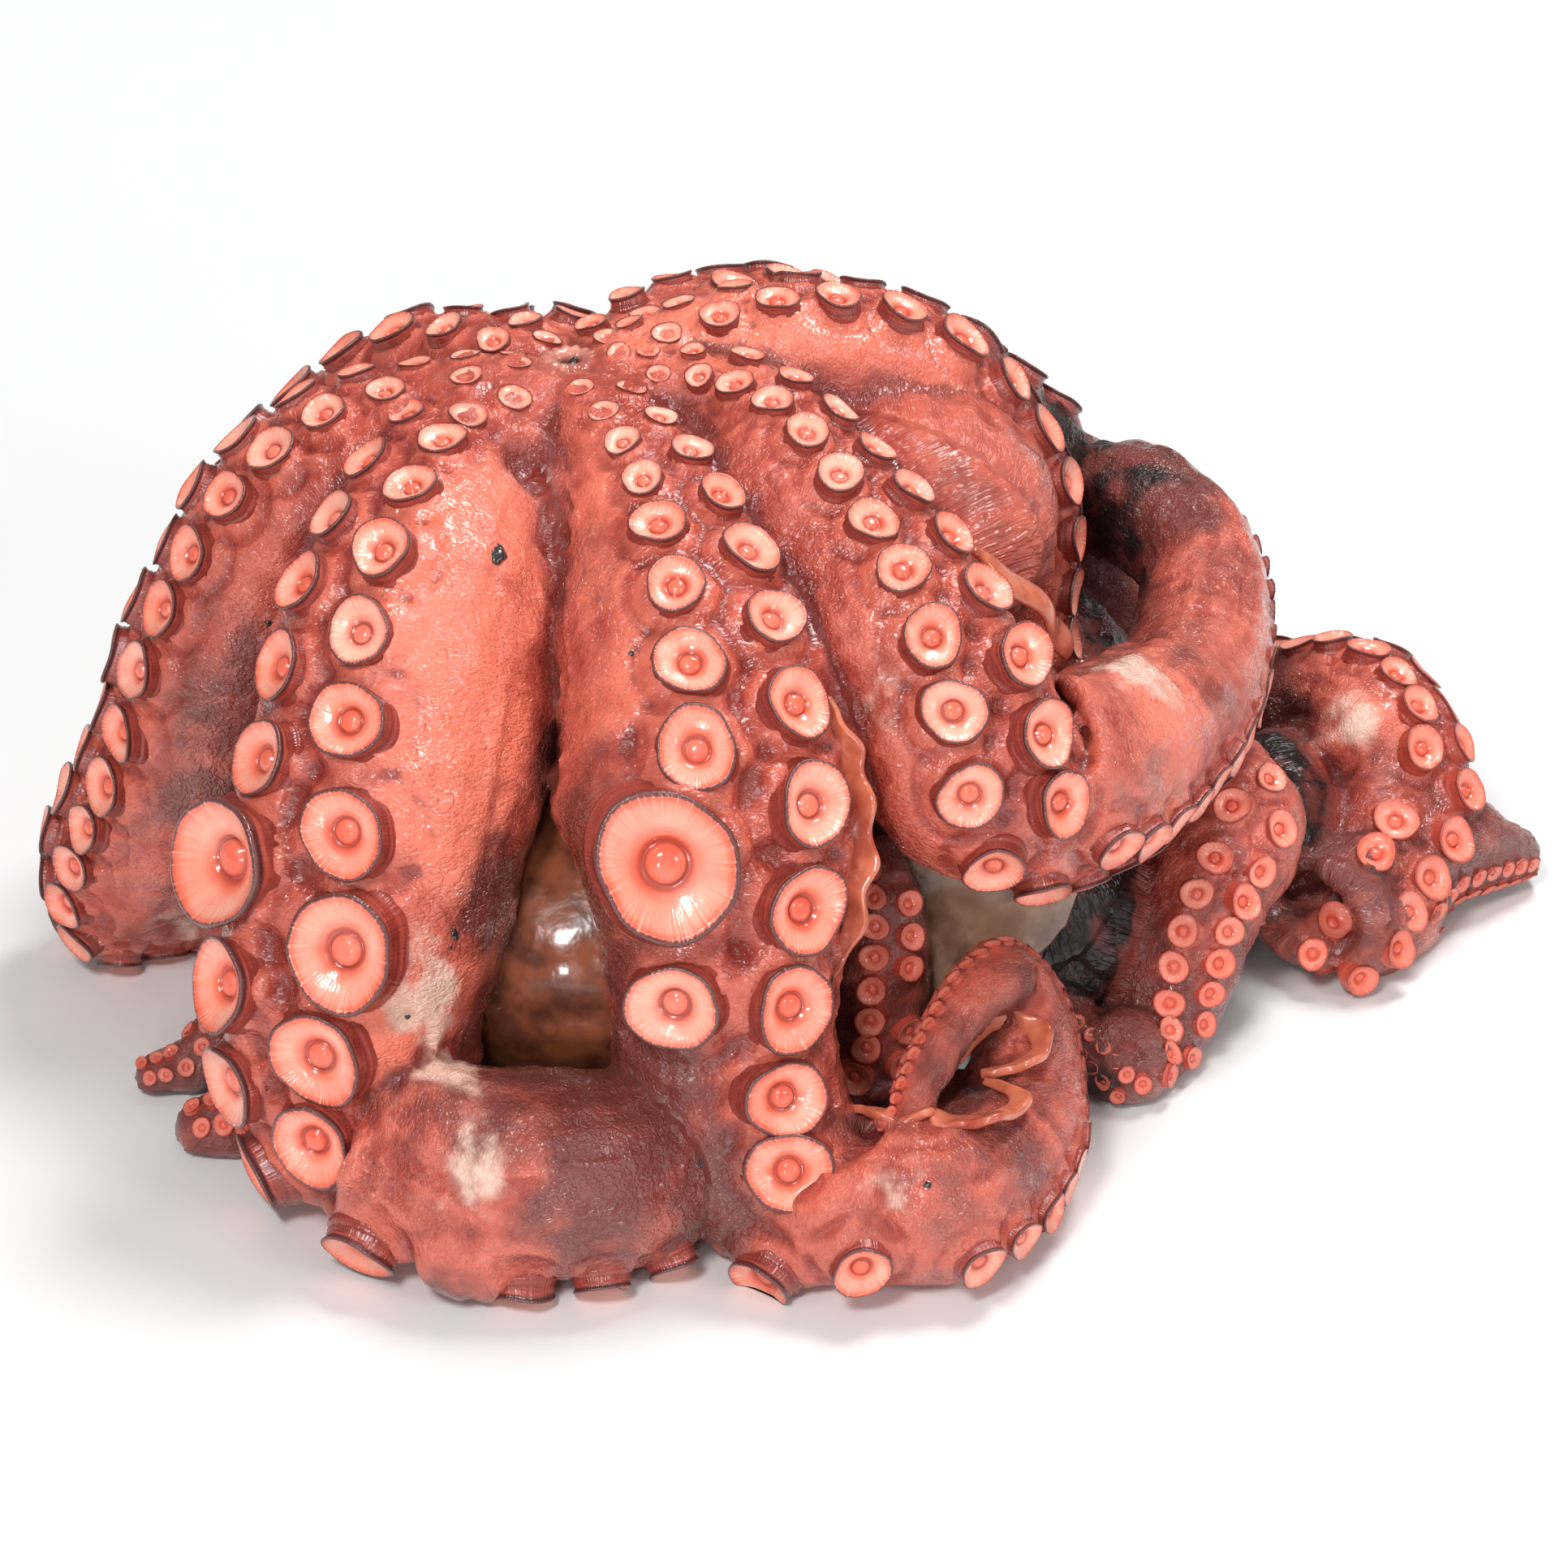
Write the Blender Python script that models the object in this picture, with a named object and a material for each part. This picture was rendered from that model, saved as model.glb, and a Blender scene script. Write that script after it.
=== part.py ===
"""A cooked octopus resting mouth upward, its eight arms draped over the head and curled at their tips.

The animal is one solid. Each arm is a flattened tube that follows a route of stations over the head, with two
rows of cup-shaped suckers along its outer face. The arms, the web that joins them round the mouth and the
head inside are fused into one closed skin, which a level plane trims flat where it rests.
Units are metres once scaled; the stations below are in millimetres, +Z up, and the mouth is at the top.
"""

import math

import bmesh
import bpy
import numpy as np
from mathutils import Matrix, Vector

MM = 0.001
CENTRE = Vector((4.4, 0.8, 0.0))  # middle of the outline in the stations' own millimetres

RING_SIDES = 14
SPANS_PER_STATION = 4
SKIN_VOXEL = 2.4
FLOOR_MARGIN = 60.0  # depth of the block that trims the underside
CUTTER_SPAN = 600.0  # and its length and width
TARGET_TRIANGLES = 9400

SUCKER_SIDES = 8
FIRST_SUCKER = 7.0  # length along the arm at which the first one stands
SUCKER_PITCH = 1.05  # spacing along one row far from the mouth, in sucker diameters
WEB_PITCH = 0.75  # further spacing at the mouth, where the web is stretched
WEB_REACH = 55.0  # length along the arm over which that further spacing fades
ROW_STAGGER = 0.55  # how far the second row starts behind the first, in spacings
ROW_SPREAD = 0.50  # distance of each row from the arm's middle, in sucker diameters
WIDTH_SPREAD = 0.08  # and further out with the arm's half width
WIDEST_SPREAD = 0.80  # most of that distance, in half widths
ROW_LEAN = 0.90  # how far the rows turn outward, for a spread of one half width
SIDE_DROP = 0.50  # how far the arm's round face falls back beside its middle, in half widths
SUCKER_HEIGHT = 0.32  # how far a cup stands out of the skin, in diameters
SUCKER_NECK = 0.94  # width of a cup's foot against its rim
SUCKER_SUNK = 0.38  # how deep the foot reaches into the arm, in diameters
SMALLEST_SUCKER = 8.5  # smaller ones are part of the arm's outline here
END_MARGIN = 1.0  # bare length at an arm's tip
GIANT_ROOM = 0.4  # how near a row comes to a giant before it steps onto it, in sucker diameters

# One arm is a list of stations on its sucker-bearing face:
# x, y, z, half width, half depth, sucker diameter, and the direction in which the suckers face.
FRONT_ARM = [
    (-43, 14, 146, 10, 12, 5, (1, -1, 10)),
    (-33, 0, 144, 16, 16, 7, (1, -3, 9)),
    (-22, -22, 138, 21, 19, 10, (2, -5, 8)),
    (-15, -42, 130, 26, 23, 12.5, (3, -7, 6)),
    (-10, -58, 120, 29, 26, 14, (3, -9, 4)),
    (-7, -70, 107, 31, 27, 16, (3, -9, 3)),
    (-6, -80, 93, 31, 27, 17, (3, -9, 2)),
    (-8, -88, 76, 27, 24, 18, (2, -10, 1)),
    (-10, -94, 57, 23, 21, 18, (1, -10, 1)),
    (-11, -99, 37, 22, 19, 17, (0, -10, 1)),
    (-7, -105, 20, 21, 18, 16, (-1, -10, -1)),
    (3, -112, 10, 20, 17, 14, (0, -9, -4)),
    (18, -111, 5, 18, 17, 12, (2, -8, -5)),
    (34, -110, 5, 18, 17, 11, (3, -8, -5)),
    (48, -99, 6, 17, 16, 9, (7, -6, -4)),
    (59, -78, 9, 15, 15, 7, (9, -1, -3)),
    (61, -60, 19, 12, 12, 5, (9, 4, 1)),
    (56, -49, 34, 10, 9, 4.5, (6, 6, 5)),
    (46, -50, 46, 8, 7, 4, (0, 5, 9)),
    (36, -62, 47, 7, 6, 4, (-6, 4, 7)),
    (28, -75, 41, 6, 5, 3.5, (-7, 2, 6)),
    (22, -87, 33, 5, 4, 3, (-8, 0, 5)),
    (20, -93, 27, 3, 3, 2.5, (-8, -1, 4)),
]
FRONT_LEFT_ARM = [
    (-47, 14, 146, 10, 12, 5, (0, -1, 10)),
    (-57, 8, 145, 15, 16, 7, (-1, -2, 10)),
    (-70, -1, 143, 20, 19, 9, (-3, -4, 9)),
    (-78, -18, 139, 24, 22, 11.5, (-5, -6, 7)),
    (-84, -34, 132, 27, 25, 13, (-6, -7, 5)),
    (-89, -48, 122, 28, 27, 14, (-6, -8, 4)),
    (-92, -60, 108, 28, 28, 16, (-6, -8, 3)),
    (-94, -71, 92, 28, 28, 18, (-6, -9, 2)),
    (-97, -79, 70, 27, 27, 20, (-6, -9, 1)),
    (-101, -85, 48, 25, 25, 19, (-6, -9, -1)),
    (-101, -88, 26, 23, 23, 18, (-6, -8, -3)),
    (-94, -90, 7, 21, 21, 17, (-5, -7, -6)),
    (-80, -98, 3, 20, 20, 15, (-2, -6, -9)),
    (-61, -101, 2, 20, 20, 14, (1, -3, -10)),
    (-43, -102, 2, 20, 20, 13, (2, -3, -10)),
    (-27, -97, 2, 19, 19, 11, (3, -3, -10)),
    (-6, -80, 3, 17, 17, 9, (4, -6, -7)),
    (13, -62, 9, 13, 13, 8, (3, -8, -4)),
    (21, -59, 25, 10, 9, 7, (2, -9, 1)),
    (22, -57, 41, 9, 8, 6.5, (2, -9, 2)),
    (22, -51, 55, 8, 7, 6, (2, -8, 4)),
    (19, -42, 67, 5, 5, 5, (2, -7, 6)),
]
LEFT_ARM = [
    (-49, 17, 146, 10, 12, 5, (-1, 0, 10)),
    (-64, 14, 147, 14, 15, 6.5, (-3, -1, 9)),
    (-79, 12, 145, 18, 17, 8, (-5, -1, 8)),
    (-93, 10, 142, 20, 18, 10, (-6, -1, 8)),
    (-108, 8, 133, 21, 19, 11, (-7, -2, 7)),
    (-120, 4, 121, 21, 20, 11, (-8, -3, 5)),
    (-129, 2, 105, 21, 21, 12, (-9, -3, 4)),
    (-137, 0, 89, 22, 22, 13, (-9, -3, 2)),
    (-143, 0, 70, 22, 22, 13, (-10, -3, 1)),
    (-152, 4, 49, 21, 21, 12, (-10, -3, 0)),
    (-161, 10, 26, 19, 19, 12, (-9, -3, -3)),
    (-156, 15, 6, 17, 17, 11, (-5, -3, -8)),
    (-125, 26, 3, 15, 15, 9, (0, 1, -10)),
    (-98, 8, 3, 13, 13, 8, (0, 1, -10)),
    (-96, -28, 3, 11, 11, 7, (0, 1, -10)),
    (-100, -58, 8, 10, 10, 6, (-7, -5, -2)),
    (-114, -60, 11, 9, 9, 5, (-6, -5, 6)),
    (-127, -60, 8, 6, 6, 4, (-5, -5, 7)),
]
FRONT_RIGHT_ARM = [
    (-41, 17, 146, 10, 12, 5, (2, -1, 10)),
    (-28, 15, 147, 14, 15, 5.5, (2, -2, 9)),
    (-11, 10, 148, 17, 17, 7.5, (3, -3, 9)),
    (3, -2, 146, 19, 19, 9, (5, -4, 8)),
    (15, -18, 139, 20, 20, 10, (6, -5, 7)),
    (26, -33, 130, 21, 21, 11, (6, -7, 5)),
    (34, -46, 121, 22, 22, 13, (6, -8, 3)),
    (40, -55, 108, 23, 22, 14, (5, -9, 2)),
    (44, -62, 94, 23, 22, 14, (4, -9, 0)),
    (50, -62, 76, 22, 21, 13, (4, -8, -4)),
    (66, -48, 65, 21, 20, 11, (5, -6, -6)),
    (83, -26, 63, 21, 19, 9, (8, -3, -6)),
    (98, 0, 66, 19, 16, 8, (10, 0, -3)),
    (105, 28, 74, 16, 14, 7, (10, 3, -2)),
    (103, 55, 83, 14, 12, 6, (8, 6, -1)),
    (88, 80, 88, 14, 13, 5, (4, 9, 0)),
    (68, 98, 80, 11, 10, 4, (0, 10, 0)),
    (45, 100, 60, 8, 8, 3, (-2, 10, -1)),
    (30, 94, 40, 6, 6, 3, (-3, 9, -2)),
]
RIGHT_ARM = [
    (-42, 21, 145, 10, 12, 5, (2, 0, 10)),
    (-28, 26, 150, 14, 15, 7, (2, 0, 10)),
    (-13, 32, 153, 17, 17, 9, (3, 1, 10)),
    (2, 37, 154, 19, 19, 10, (4, 2, 9)),
    (19, 40, 151, 20, 20, 11, (5, 2, 8)),
    (35, 42, 144, 21, 21, 12, (7, 2, 7)),
    (47, 43, 132, 21, 21, 12, (9, 2, 5)),
    (57, 42, 117, 20, 20, 12, (10, 1, 2)),
    (62, 38, 100, 18, 18, 11, (10, 0, -1)),
    (62, 28, 72, 16, 16, 10, (8, -2, -5)),
    (80, 14, 50, 15, 15, 9, (3, -5, 8)),
    (97, 4, 57, 14, 14, 8, (3, -5, 8)),
    (102, -6, 48, 14, 14, 8, (2, -8, 5)),
    (93, -18, 36, 14, 14, 7.5, (1, -9, 4)),
    (88, -26, 23, 13, 13, 7, (1, -9, 3)),
    (86, -32, 10, 12, 12, 6, (3, -9, 0)),
    (81, -42, 3, 11, 11, 5, (4, -8, -4)),
    (73, -45, 6, 9, 9, 4, (-1, -9, 0)),
    (66, -40, 12, 7, 7, 3.5, (-3, -7, 5)),
    (60, -36, 16, 6, 6, 3.5, (-1, -7, 6)),
    (52, -33, 18, 4, 4, 3, (0, -7, 6)),
]
BACK_RIGHT_ARM = [
    (-45, 25, 143, 10, 12, 5, (1, 1, 10)),
    (-35, 38, 146, 14, 15, 8, (1, 1, 10)),
    (-22, 54, 147, 17, 17, 10, (2, 3, 9)),
    (-7, 68, 144, 19, 19, 11, (3, 5, 8)),
    (8, 80, 136, 20, 20, 12, (5, 6, 7)),
    (42, 98, 112, 20, 20, 13, (6, 8, 3)),
    (66, 110, 85, 19, 19, 12, (6, 8, 0)),
    (86, 112, 58, 18, 18, 11, (5, 8, 4)),
    (112, 98, 37, 16, 16, 10, (2, 3, 9)),
    (137, 74, 48, 17, 16, 10, (4, 1, 9)),
    (149, 52, 43, 18, 16, 10, (7, -4, 5)),
    (149, 36, 32, 18, 16, 10.5, (3, -8, 5)),
    (140, 22, 22, 17, 16, 10, (0, -9, 4)),
    (130, 10, 13, 16, 15, 9, (-2, -9, 2)),
    (121, 1, 7, 14, 13, 7, (-3, -8, -3)),
    (130, 14, 7, 13, 11, 6, (7, -5, -5)),
    (149, 27, 9, 14, 11, 5, (6, -7, -4)),
    (161, 35, 9, 13, 10, 4.5, (6, -7, -4)),
    (171, 42, 7, 8, 7, 4, (6, -7, -4)),
    (177, 47, 5, 3, 3, 3, (6, -7, -4)),
]
BACK_ARM = [
    (-47, 27, 143, 10, 12, 5, (0, 1, 10)),
    (-50, 40, 145, 14, 15, 8, (0, 2, 10)),
    (-53, 54, 141, 17, 17, 11, (0, 5, 9)),
    (-52, 74, 128, 20, 20, 13, (0, 7, 7)),
    (-50, 92, 100, 22, 22, 15, (1, 9, 3)),
    (-44, 100, 68, 22, 22, 16, (1, 10, 1)),
    (-30, 104, 36, 21, 21, 13, (1, 10, -1)),
    (-6, 106, 10, 18, 18, 10, (3, 9, -4)),
    (25, 104, 3, 15, 15, 8, (4, 5, -8)),
    (58, 96, 3, 12, 12, 6, (2, 4, -9)),
    (88, 88, 3, 8, 8, 4, (1, 4, -9)),
]
BACK_LEFT_ARM = [
    (-48, 24, 143, 10, 12, 5, (-1, 1, 10)),
    (-59, 33, 146, 14, 15, 8, (-2, 2, 10)),
    (-72, 44, 144, 17, 17, 10, (-4, 3, 9)),
    (-88, 54, 136, 19, 19, 12, (-6, 4, 7)),
    (-112, 62, 112, 20, 20, 13, (-8, 6, 4)),
    (-130, 64, 84, 21, 21, 14, (-9, 5, 2)),
    (-138, 62, 54, 20, 20, 13, (-9, 4, 0)),
    (-136, 58, 26, 18, 18, 11, (-9, 4, -3)),
    (-118, 48, 4, 15, 15, 8, (-5, 3, -8)),
    (-98, 20, 3, 12, 12, 6, (-3, 0, -10)),
    (-98, -14, 8, 9, 9, 5, (-8, 0, -4)),
    (-121, -28, 17, 7, 7, 4, (-8, 0, 4)),
    (-128, -38, 10, 6, 6, 4, (-3, -6, 7)),
    (-139, -39, 6, 4, 4, 3, (-3, -6, 7)),
]
ARMS = [
    FRONT_ARM,
    FRONT_LEFT_ARM,
    LEFT_ARM,
    FRONT_RIGHT_ARM,
    RIGHT_ARM,
    BACK_RIGHT_ARM,
    BACK_ARM,
    BACK_LEFT_ARM,
]

# A few suckers on two arms grow far larger than their neighbours: arm, row, height of its place, diameter.
FIRST_ROW = 1
SECOND_ROW = -1
GIANT_SUCKERS = [
    (FRONT_ARM, FIRST_ROW, 91.0, 30.0),
    (FRONT_LEFT_ARM, FIRST_ROW, 84.0, 27.0),
    (FRONT_LEFT_ARM, SECOND_ROW, 72.0, 23.0),
]

# Ellipsoids between and under the arms: centre and radii.
WEB_DOME = ((-32, 20, 92), (72, 60, 49))
RIGHT_WEB = ((25, 18, 110), (34, 32, 29))
BACK_WEB = ((114, 44, 20), (14, 24, 20))
HEAD = ((-38, -4, 38), (50, 62, 42))
INNER_MASS = ((28, 46, 44), (56, 54, 42))
RIGHT_INNER_MASS = ((50, 2, 24), (36, 34, 28))
FRONT_INNER_MASS = ((34, -68, 6), (22, 20, 14))
MASSES = [WEB_DOME, RIGHT_WEB, BACK_WEB, HEAD, INNER_MASS, RIGHT_INNER_MASS, FRONT_INNER_MASS]


def clear_scene():
    for old in list(bpy.data.objects):
        bpy.data.objects.remove(old, do_unlink=True)


def catmull_rom(rows, spans):
    """Rows of numbers, eased from one row to the next through every given row."""
    rows = np.asarray(rows, float)
    ends = np.vstack([2 * rows[0] - rows[1], rows, 2 * rows[-1] - rows[-2]])
    eased = []
    for index in range(len(rows) - 1):
        before, start, end, after = ends[index : index + 4]
        for step in range(spans):
            t = step / spans
            curve = 2 * start + (end - before) * t
            curve = curve + (2 * before - 5 * start + 4 * end - after) * t**2
            curve = curve + (3 * start - before - 3 * end + after) * t**3
            eased.append(curve / 2)
    eased.append(rows[-1])
    return np.array(eased)


def unit(rows):
    return rows / np.linalg.norm(rows, axis=-1, keepdims=True)


def arm_course(stations):
    """Points, half widths, half depths, sucker sizes and the three directions along one arm."""
    rows = [list(row[:6]) + list(Vector(row[6]).normalized()) for row in stations]
    eased = catmull_rom(rows, SPANS_PER_STATION)
    points = eased[:, :3] - np.array(CENTRE)
    along = unit(np.gradient(points, axis=0))
    face = eased[:, 6:9]
    face = unit(face - (face * along).sum(axis=1, keepdims=True) * along)
    across = np.cross(along, face)
    return points, eased[:, 3], eased[:, 4], eased[:, 5], along, face, across


def add_arm(mesh, stations):
    """A closed tube whose outer face passes through the stations."""
    points, widths, depths, _, along, face, across = arm_course(stations)
    rings = []
    for index, point in enumerate(points):
        middle = point - face[index] * depths[index]
        ring = []
        for side in range(RING_SIDES):
            angle = math.tau * side / RING_SIDES
            outward = face[index] * math.cos(angle) * depths[index]
            sideways = across[index] * math.sin(angle) * widths[index]
            ring.append(mesh.verts.new(middle + outward + sideways))
        rings.append(ring)
    for near, far in zip(rings, rings[1:]):
        for side in range(RING_SIDES):
            after = (side + 1) % RING_SIDES
            mesh.faces.new((near[side], far[side], far[after], near[after]))
    mesh.faces.new(list(reversed(rings[-1])))
    mesh.faces.new(rings[0])


def sucker_row(stations, row):
    """Length along the arm and diameter of each sucker of one row."""
    points, _, _, sizes, _, _, _ = arm_course(stations)
    lengths = np.concatenate([[0.0], np.cumsum(np.linalg.norm(np.diff(points, axis=0), axis=1))])
    giants = {}
    for arm, giant_row, height, diameter in GIANT_SUCKERS:
        if arm is stations and giant_row == row:
            giants[lengths[np.argmin(np.abs(points[:, 2] - height))]] = diameter
    travelled = FIRST_SUCKER
    if row == SECOND_ROW:
        travelled += ROW_STAGGER * np.interp(travelled, lengths, sizes) * (SUCKER_PITCH + WEB_PITCH)
    size = np.interp(travelled, lengths, sizes)
    while travelled < lengths[-1] - END_MARGIN:
        yield travelled, size
        pitch = SUCKER_PITCH + WEB_PITCH * math.exp(-travelled / WEB_REACH)
        following = np.interp(travelled + size, lengths, sizes)
        ahead = travelled + pitch * (size + following) / 2
        reached = [place for place in sorted(giants) if ahead > place - GIANT_ROOM * size]
        if reached:
            following = giants.pop(reached[0])
            ahead = travelled + SUCKER_PITCH * (size + following) / 2
        travelled = ahead
        size = following


def sucker_sites(stations):
    """Place, facing and diameter of each sucker, in two rows beside the middle of the arm's face."""
    points, widths, _, _, _, face, across = arm_course(stations)
    lengths = np.concatenate([[0.0], np.cumsum(np.linalg.norm(np.diff(points, axis=0), axis=1))])
    for row in (FIRST_ROW, SECOND_ROW):
        for travelled, size in sucker_row(stations, row):
            place = np.array([np.interp(travelled, lengths, column) for column in points.T])
            facing = np.array([np.interp(travelled, lengths, column) for column in face.T])
            beside = np.array([np.interp(travelled, lengths, column) for column in across.T])
            width = np.interp(travelled, lengths, widths)
            spread = row * min(ROW_SPREAD * size + WIDTH_SPREAD * width, WIDEST_SPREAD * width)
            drop = SIDE_DROP * width * (1 - math.sqrt(1 - (spread / width) ** 2))
            place = place + beside * spread - facing * drop
            yield place, unit(facing + beside * ROW_LEAN * spread / width), size


def add_sucker(mesh, place, facing, diameter):
    """A cup as a low cone with its foot sunk in the arm."""
    height = SUCKER_HEIGHT * diameter
    sunk = SUCKER_SUNK * diameter
    turned = Vector((0, 0, 1)).rotation_difference(Vector(facing)).to_matrix().to_4x4()
    middle = Vector(place) + Vector(facing) * (height - sunk) / 2
    bmesh.ops.create_cone(
        mesh,
        cap_ends=True,
        segments=SUCKER_SIDES,
        radius1=diameter * SUCKER_NECK / 2,
        radius2=diameter / 2,
        depth=height + sunk,
        matrix=Matrix.Translation(middle) @ turned,
    )


def add_ellipsoid(mesh, centre, radii):
    matrix = Matrix.Translation(Vector(centre) - CENTRE) @ Matrix.Diagonal((*radii, 1.0))
    bmesh.ops.create_icosphere(mesh, subdivisions=4, radius=1.0, matrix=matrix)


def skin_material():
    material = bpy.data.materials.new("boiled_skin")
    material.use_nodes = True
    shader = material.node_tree.nodes["Principled BSDF"]
    shader.inputs["Base Color"].default_value = (0.50, 0.16, 0.11, 1.0)
    shader.inputs["Roughness"].default_value = 0.35
    shader.inputs["Metallic"].default_value = 0.0
    return material


def floor_cutter():
    """A block under the resting plane that trims the underside level."""
    bpy.ops.mesh.primitive_cube_add(size=1.0, location=(0, 0, -FLOOR_MARGIN / 2 * MM))
    cutter = bpy.context.object
    cutter.name = "resting_plane_cutter"
    cutter.scale = (CUTTER_SPAN * MM, CUTTER_SPAN * MM, FLOOR_MARGIN * MM)
    cutter.hide_render = True
    cutter.display_type = "WIRE"
    return cutter


def build_octopus():
    mesh = bmesh.new()
    for stations in ARMS:
        add_arm(mesh, stations)
        for place, facing, diameter in sucker_sites(stations):
            if diameter >= SMALLEST_SUCKER:
                add_sucker(mesh, place, facing, diameter)
    for centre, radii in MASSES:
        add_ellipsoid(mesh, centre, radii)
    bmesh.ops.recalc_face_normals(mesh, faces=mesh.faces)
    bmesh.ops.scale(mesh, vec=(MM, MM, MM), verts=mesh.verts)
    data = bpy.data.meshes.new("octopus")
    mesh.to_mesh(data)
    mesh.free()
    data.materials.append(skin_material())
    octopus = bpy.data.objects.new("octopus", data)
    bpy.context.scene.collection.objects.link(octopus)

    fuse = octopus.modifiers.new("fuse", "REMESH")
    fuse.mode = "VOXEL"
    fuse.voxel_size = SKIN_VOXEL * MM
    fuse.adaptivity = 0.0
    bpy.context.view_layer.update()
    graph = bpy.context.evaluated_depsgraph_get()
    quads = len(octopus.evaluated_get(graph).data.polygons)
    thin = octopus.modifiers.new("thin", "DECIMATE")
    thin.ratio = TARGET_TRIANGLES / (2 * quads)
    level = octopus.modifiers.new("level", "BOOLEAN")
    level.operation = "DIFFERENCE"
    level.object = floor_cutter()
    return octopus


clear_scene()
build_octopus()
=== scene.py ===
"""Looks of a whole boiled octopus that rests mouth upward with its arms draped over the head.

The skin is one fused and sculpted surface. The suckers, the loose edges of the web, the head that shows
between the front arms, the mouth and a few stray flecks are pieces of their own. Lengths in the tables are
millimetres.
"""

import logging
import math
from dataclasses import dataclass, field
from enum import Enum

import bpy
import numpy as np
from mathutils import Matrix, Vector
from mathutils.bvhtree import BVHTree


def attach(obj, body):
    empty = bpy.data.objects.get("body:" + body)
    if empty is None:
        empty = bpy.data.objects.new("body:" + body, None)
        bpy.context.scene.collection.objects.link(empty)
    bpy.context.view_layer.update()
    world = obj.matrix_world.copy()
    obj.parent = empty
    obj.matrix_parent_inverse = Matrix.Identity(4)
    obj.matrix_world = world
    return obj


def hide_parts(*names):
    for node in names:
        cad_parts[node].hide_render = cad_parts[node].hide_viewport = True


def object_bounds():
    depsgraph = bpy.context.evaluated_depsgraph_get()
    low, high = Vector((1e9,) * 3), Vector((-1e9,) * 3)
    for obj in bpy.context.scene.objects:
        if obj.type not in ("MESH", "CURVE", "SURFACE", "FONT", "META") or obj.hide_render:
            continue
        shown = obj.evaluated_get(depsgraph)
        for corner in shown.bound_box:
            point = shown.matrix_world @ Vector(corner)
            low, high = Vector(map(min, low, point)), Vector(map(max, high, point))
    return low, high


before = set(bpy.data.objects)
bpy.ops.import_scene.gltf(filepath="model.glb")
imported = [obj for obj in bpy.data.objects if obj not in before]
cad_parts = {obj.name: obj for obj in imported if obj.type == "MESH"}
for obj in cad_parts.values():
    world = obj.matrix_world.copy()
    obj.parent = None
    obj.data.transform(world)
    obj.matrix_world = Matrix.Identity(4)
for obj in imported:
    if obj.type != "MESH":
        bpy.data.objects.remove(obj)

logging.basicConfig(level=logging.INFO, format="%(message)s")
log = logging.getLogger("octopus")

MM = 0.001
CENTRE = np.array([4.4, 0.8, 0.0])
CAD_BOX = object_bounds()
BOX_MARGIN = 0.2
SEED = 20
HASH_PRIMES = np.array([73856093, 19349663, 83492791])
SEED_PRIME = 2654435761
MIX_PRIME = 1274126177
PATCH_FADE = 1.5  # where a colour patch ends and where it is full, in its radii
PATCH_CORE = 0.2
POINTS_AT_ONCE = 4000
FLESH_DEPTH = 2.0  # how far light travels under the skin

Colour = tuple
Socket = bpy.types.NodeSocket


class Row(Enum):
    """The two rows of suckers on an arm's face."""

    FIRST = 1
    SECOND = -1


class CupDetail(Enum):
    """How finely a sucker is modelled: segments round it and the largest diameter it serves."""

    TINY = (9, 3.6)
    SMALL = (14, 7.5)
    MEDIUM = (24, 13.0)
    LARGE = (40, 99.0)


def unit(rows: np.ndarray) -> np.ndarray:
    """Rows scaled to length one."""
    return rows / np.maximum(np.linalg.norm(rows, axis=-1, keepdims=True), 1e-12)


def smoothstep(value: np.ndarray, low: float, high: float) -> np.ndarray:
    """A soft step from 0 at low to 1 at high.

    Args:
        value: The numbers to map.
        low: Where the step starts.
        high: Where it ends; it may be below low, which turns the step round.

    Returns:
        Numbers from 0 to 1.
    """
    share = np.clip((value - low) / (high - low), 0.0, 1.0)
    return share * share * (3.0 - 2.0 * share)


def lattice_noise(points: np.ndarray, seed: int) -> np.ndarray:
    """Smooth, repeatable noise.

    Args:
        points: Rows of three coordinates, one lattice cell per unit.
        seed: Which of the patterns to give.

    Returns:
        A value from -1 to 1 for each row.
    """
    cell = np.floor(points).astype(np.int64)
    part = points - cell
    part = part * part * (3.0 - 2.0 * part)
    total = np.zeros(len(points))
    for corner in range(8):
        step = np.array([corner & 1, (corner >> 1) & 1, corner >> 2])
        place = cell + step
        key = np.bitwise_xor.reduce(place * HASH_PRIMES, axis=1) ^ (seed * SEED_PRIME)
        key = ((key ^ (key >> 13)) * MIX_PRIME) & 0xFFFFFFFF
        value = ((key >> 7) & 0xFFFF) / 32767.5 - 1.0
        weight = np.prod(np.where(step == 1, part, 1.0 - part), axis=1)
        total += weight * value
    return total


def relief(points: np.ndarray, seed: int, creased: bool) -> np.ndarray:
    """One layer of unevenness.

    Args:
        points: Rows of three coordinates, one lattice cell per unit.
        seed: Which of the patterns to give.
        creased: Sharp ridges in place of soft waves.

    Returns:
        A height from -1 to 1 for each row.
    """
    noise = lattice_noise(points, seed)
    return 1.0 - 2.0 * np.abs(noise) if creased else noise


def catmull_rom(rows: np.ndarray, spans: int) -> np.ndarray:
    """Rows of numbers, eased from one row to the next through every given row.

    Args:
        rows: The given rows.
        spans: Steps from one row to the next.

    Returns:
        The eased rows.
    """
    ends = np.vstack([2 * rows[0] - rows[1], rows, 2 * rows[-1] - rows[-2]])
    share = np.arange(spans)[:, None] / spans
    eased = []
    for before, start, end, after in zip(ends, ends[1:], ends[2:], ends[3:]):
        curve = 2 * start + (end - before) * share
        curve = curve + (2 * before - 5 * start + 4 * end - after) * share**2
        curve = curve + (3 * start - before - 3 * end + after) * share**3
        eased.append(curve / 2)
    eased.append(rows[-1:])
    return np.vstack(eased)


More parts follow.
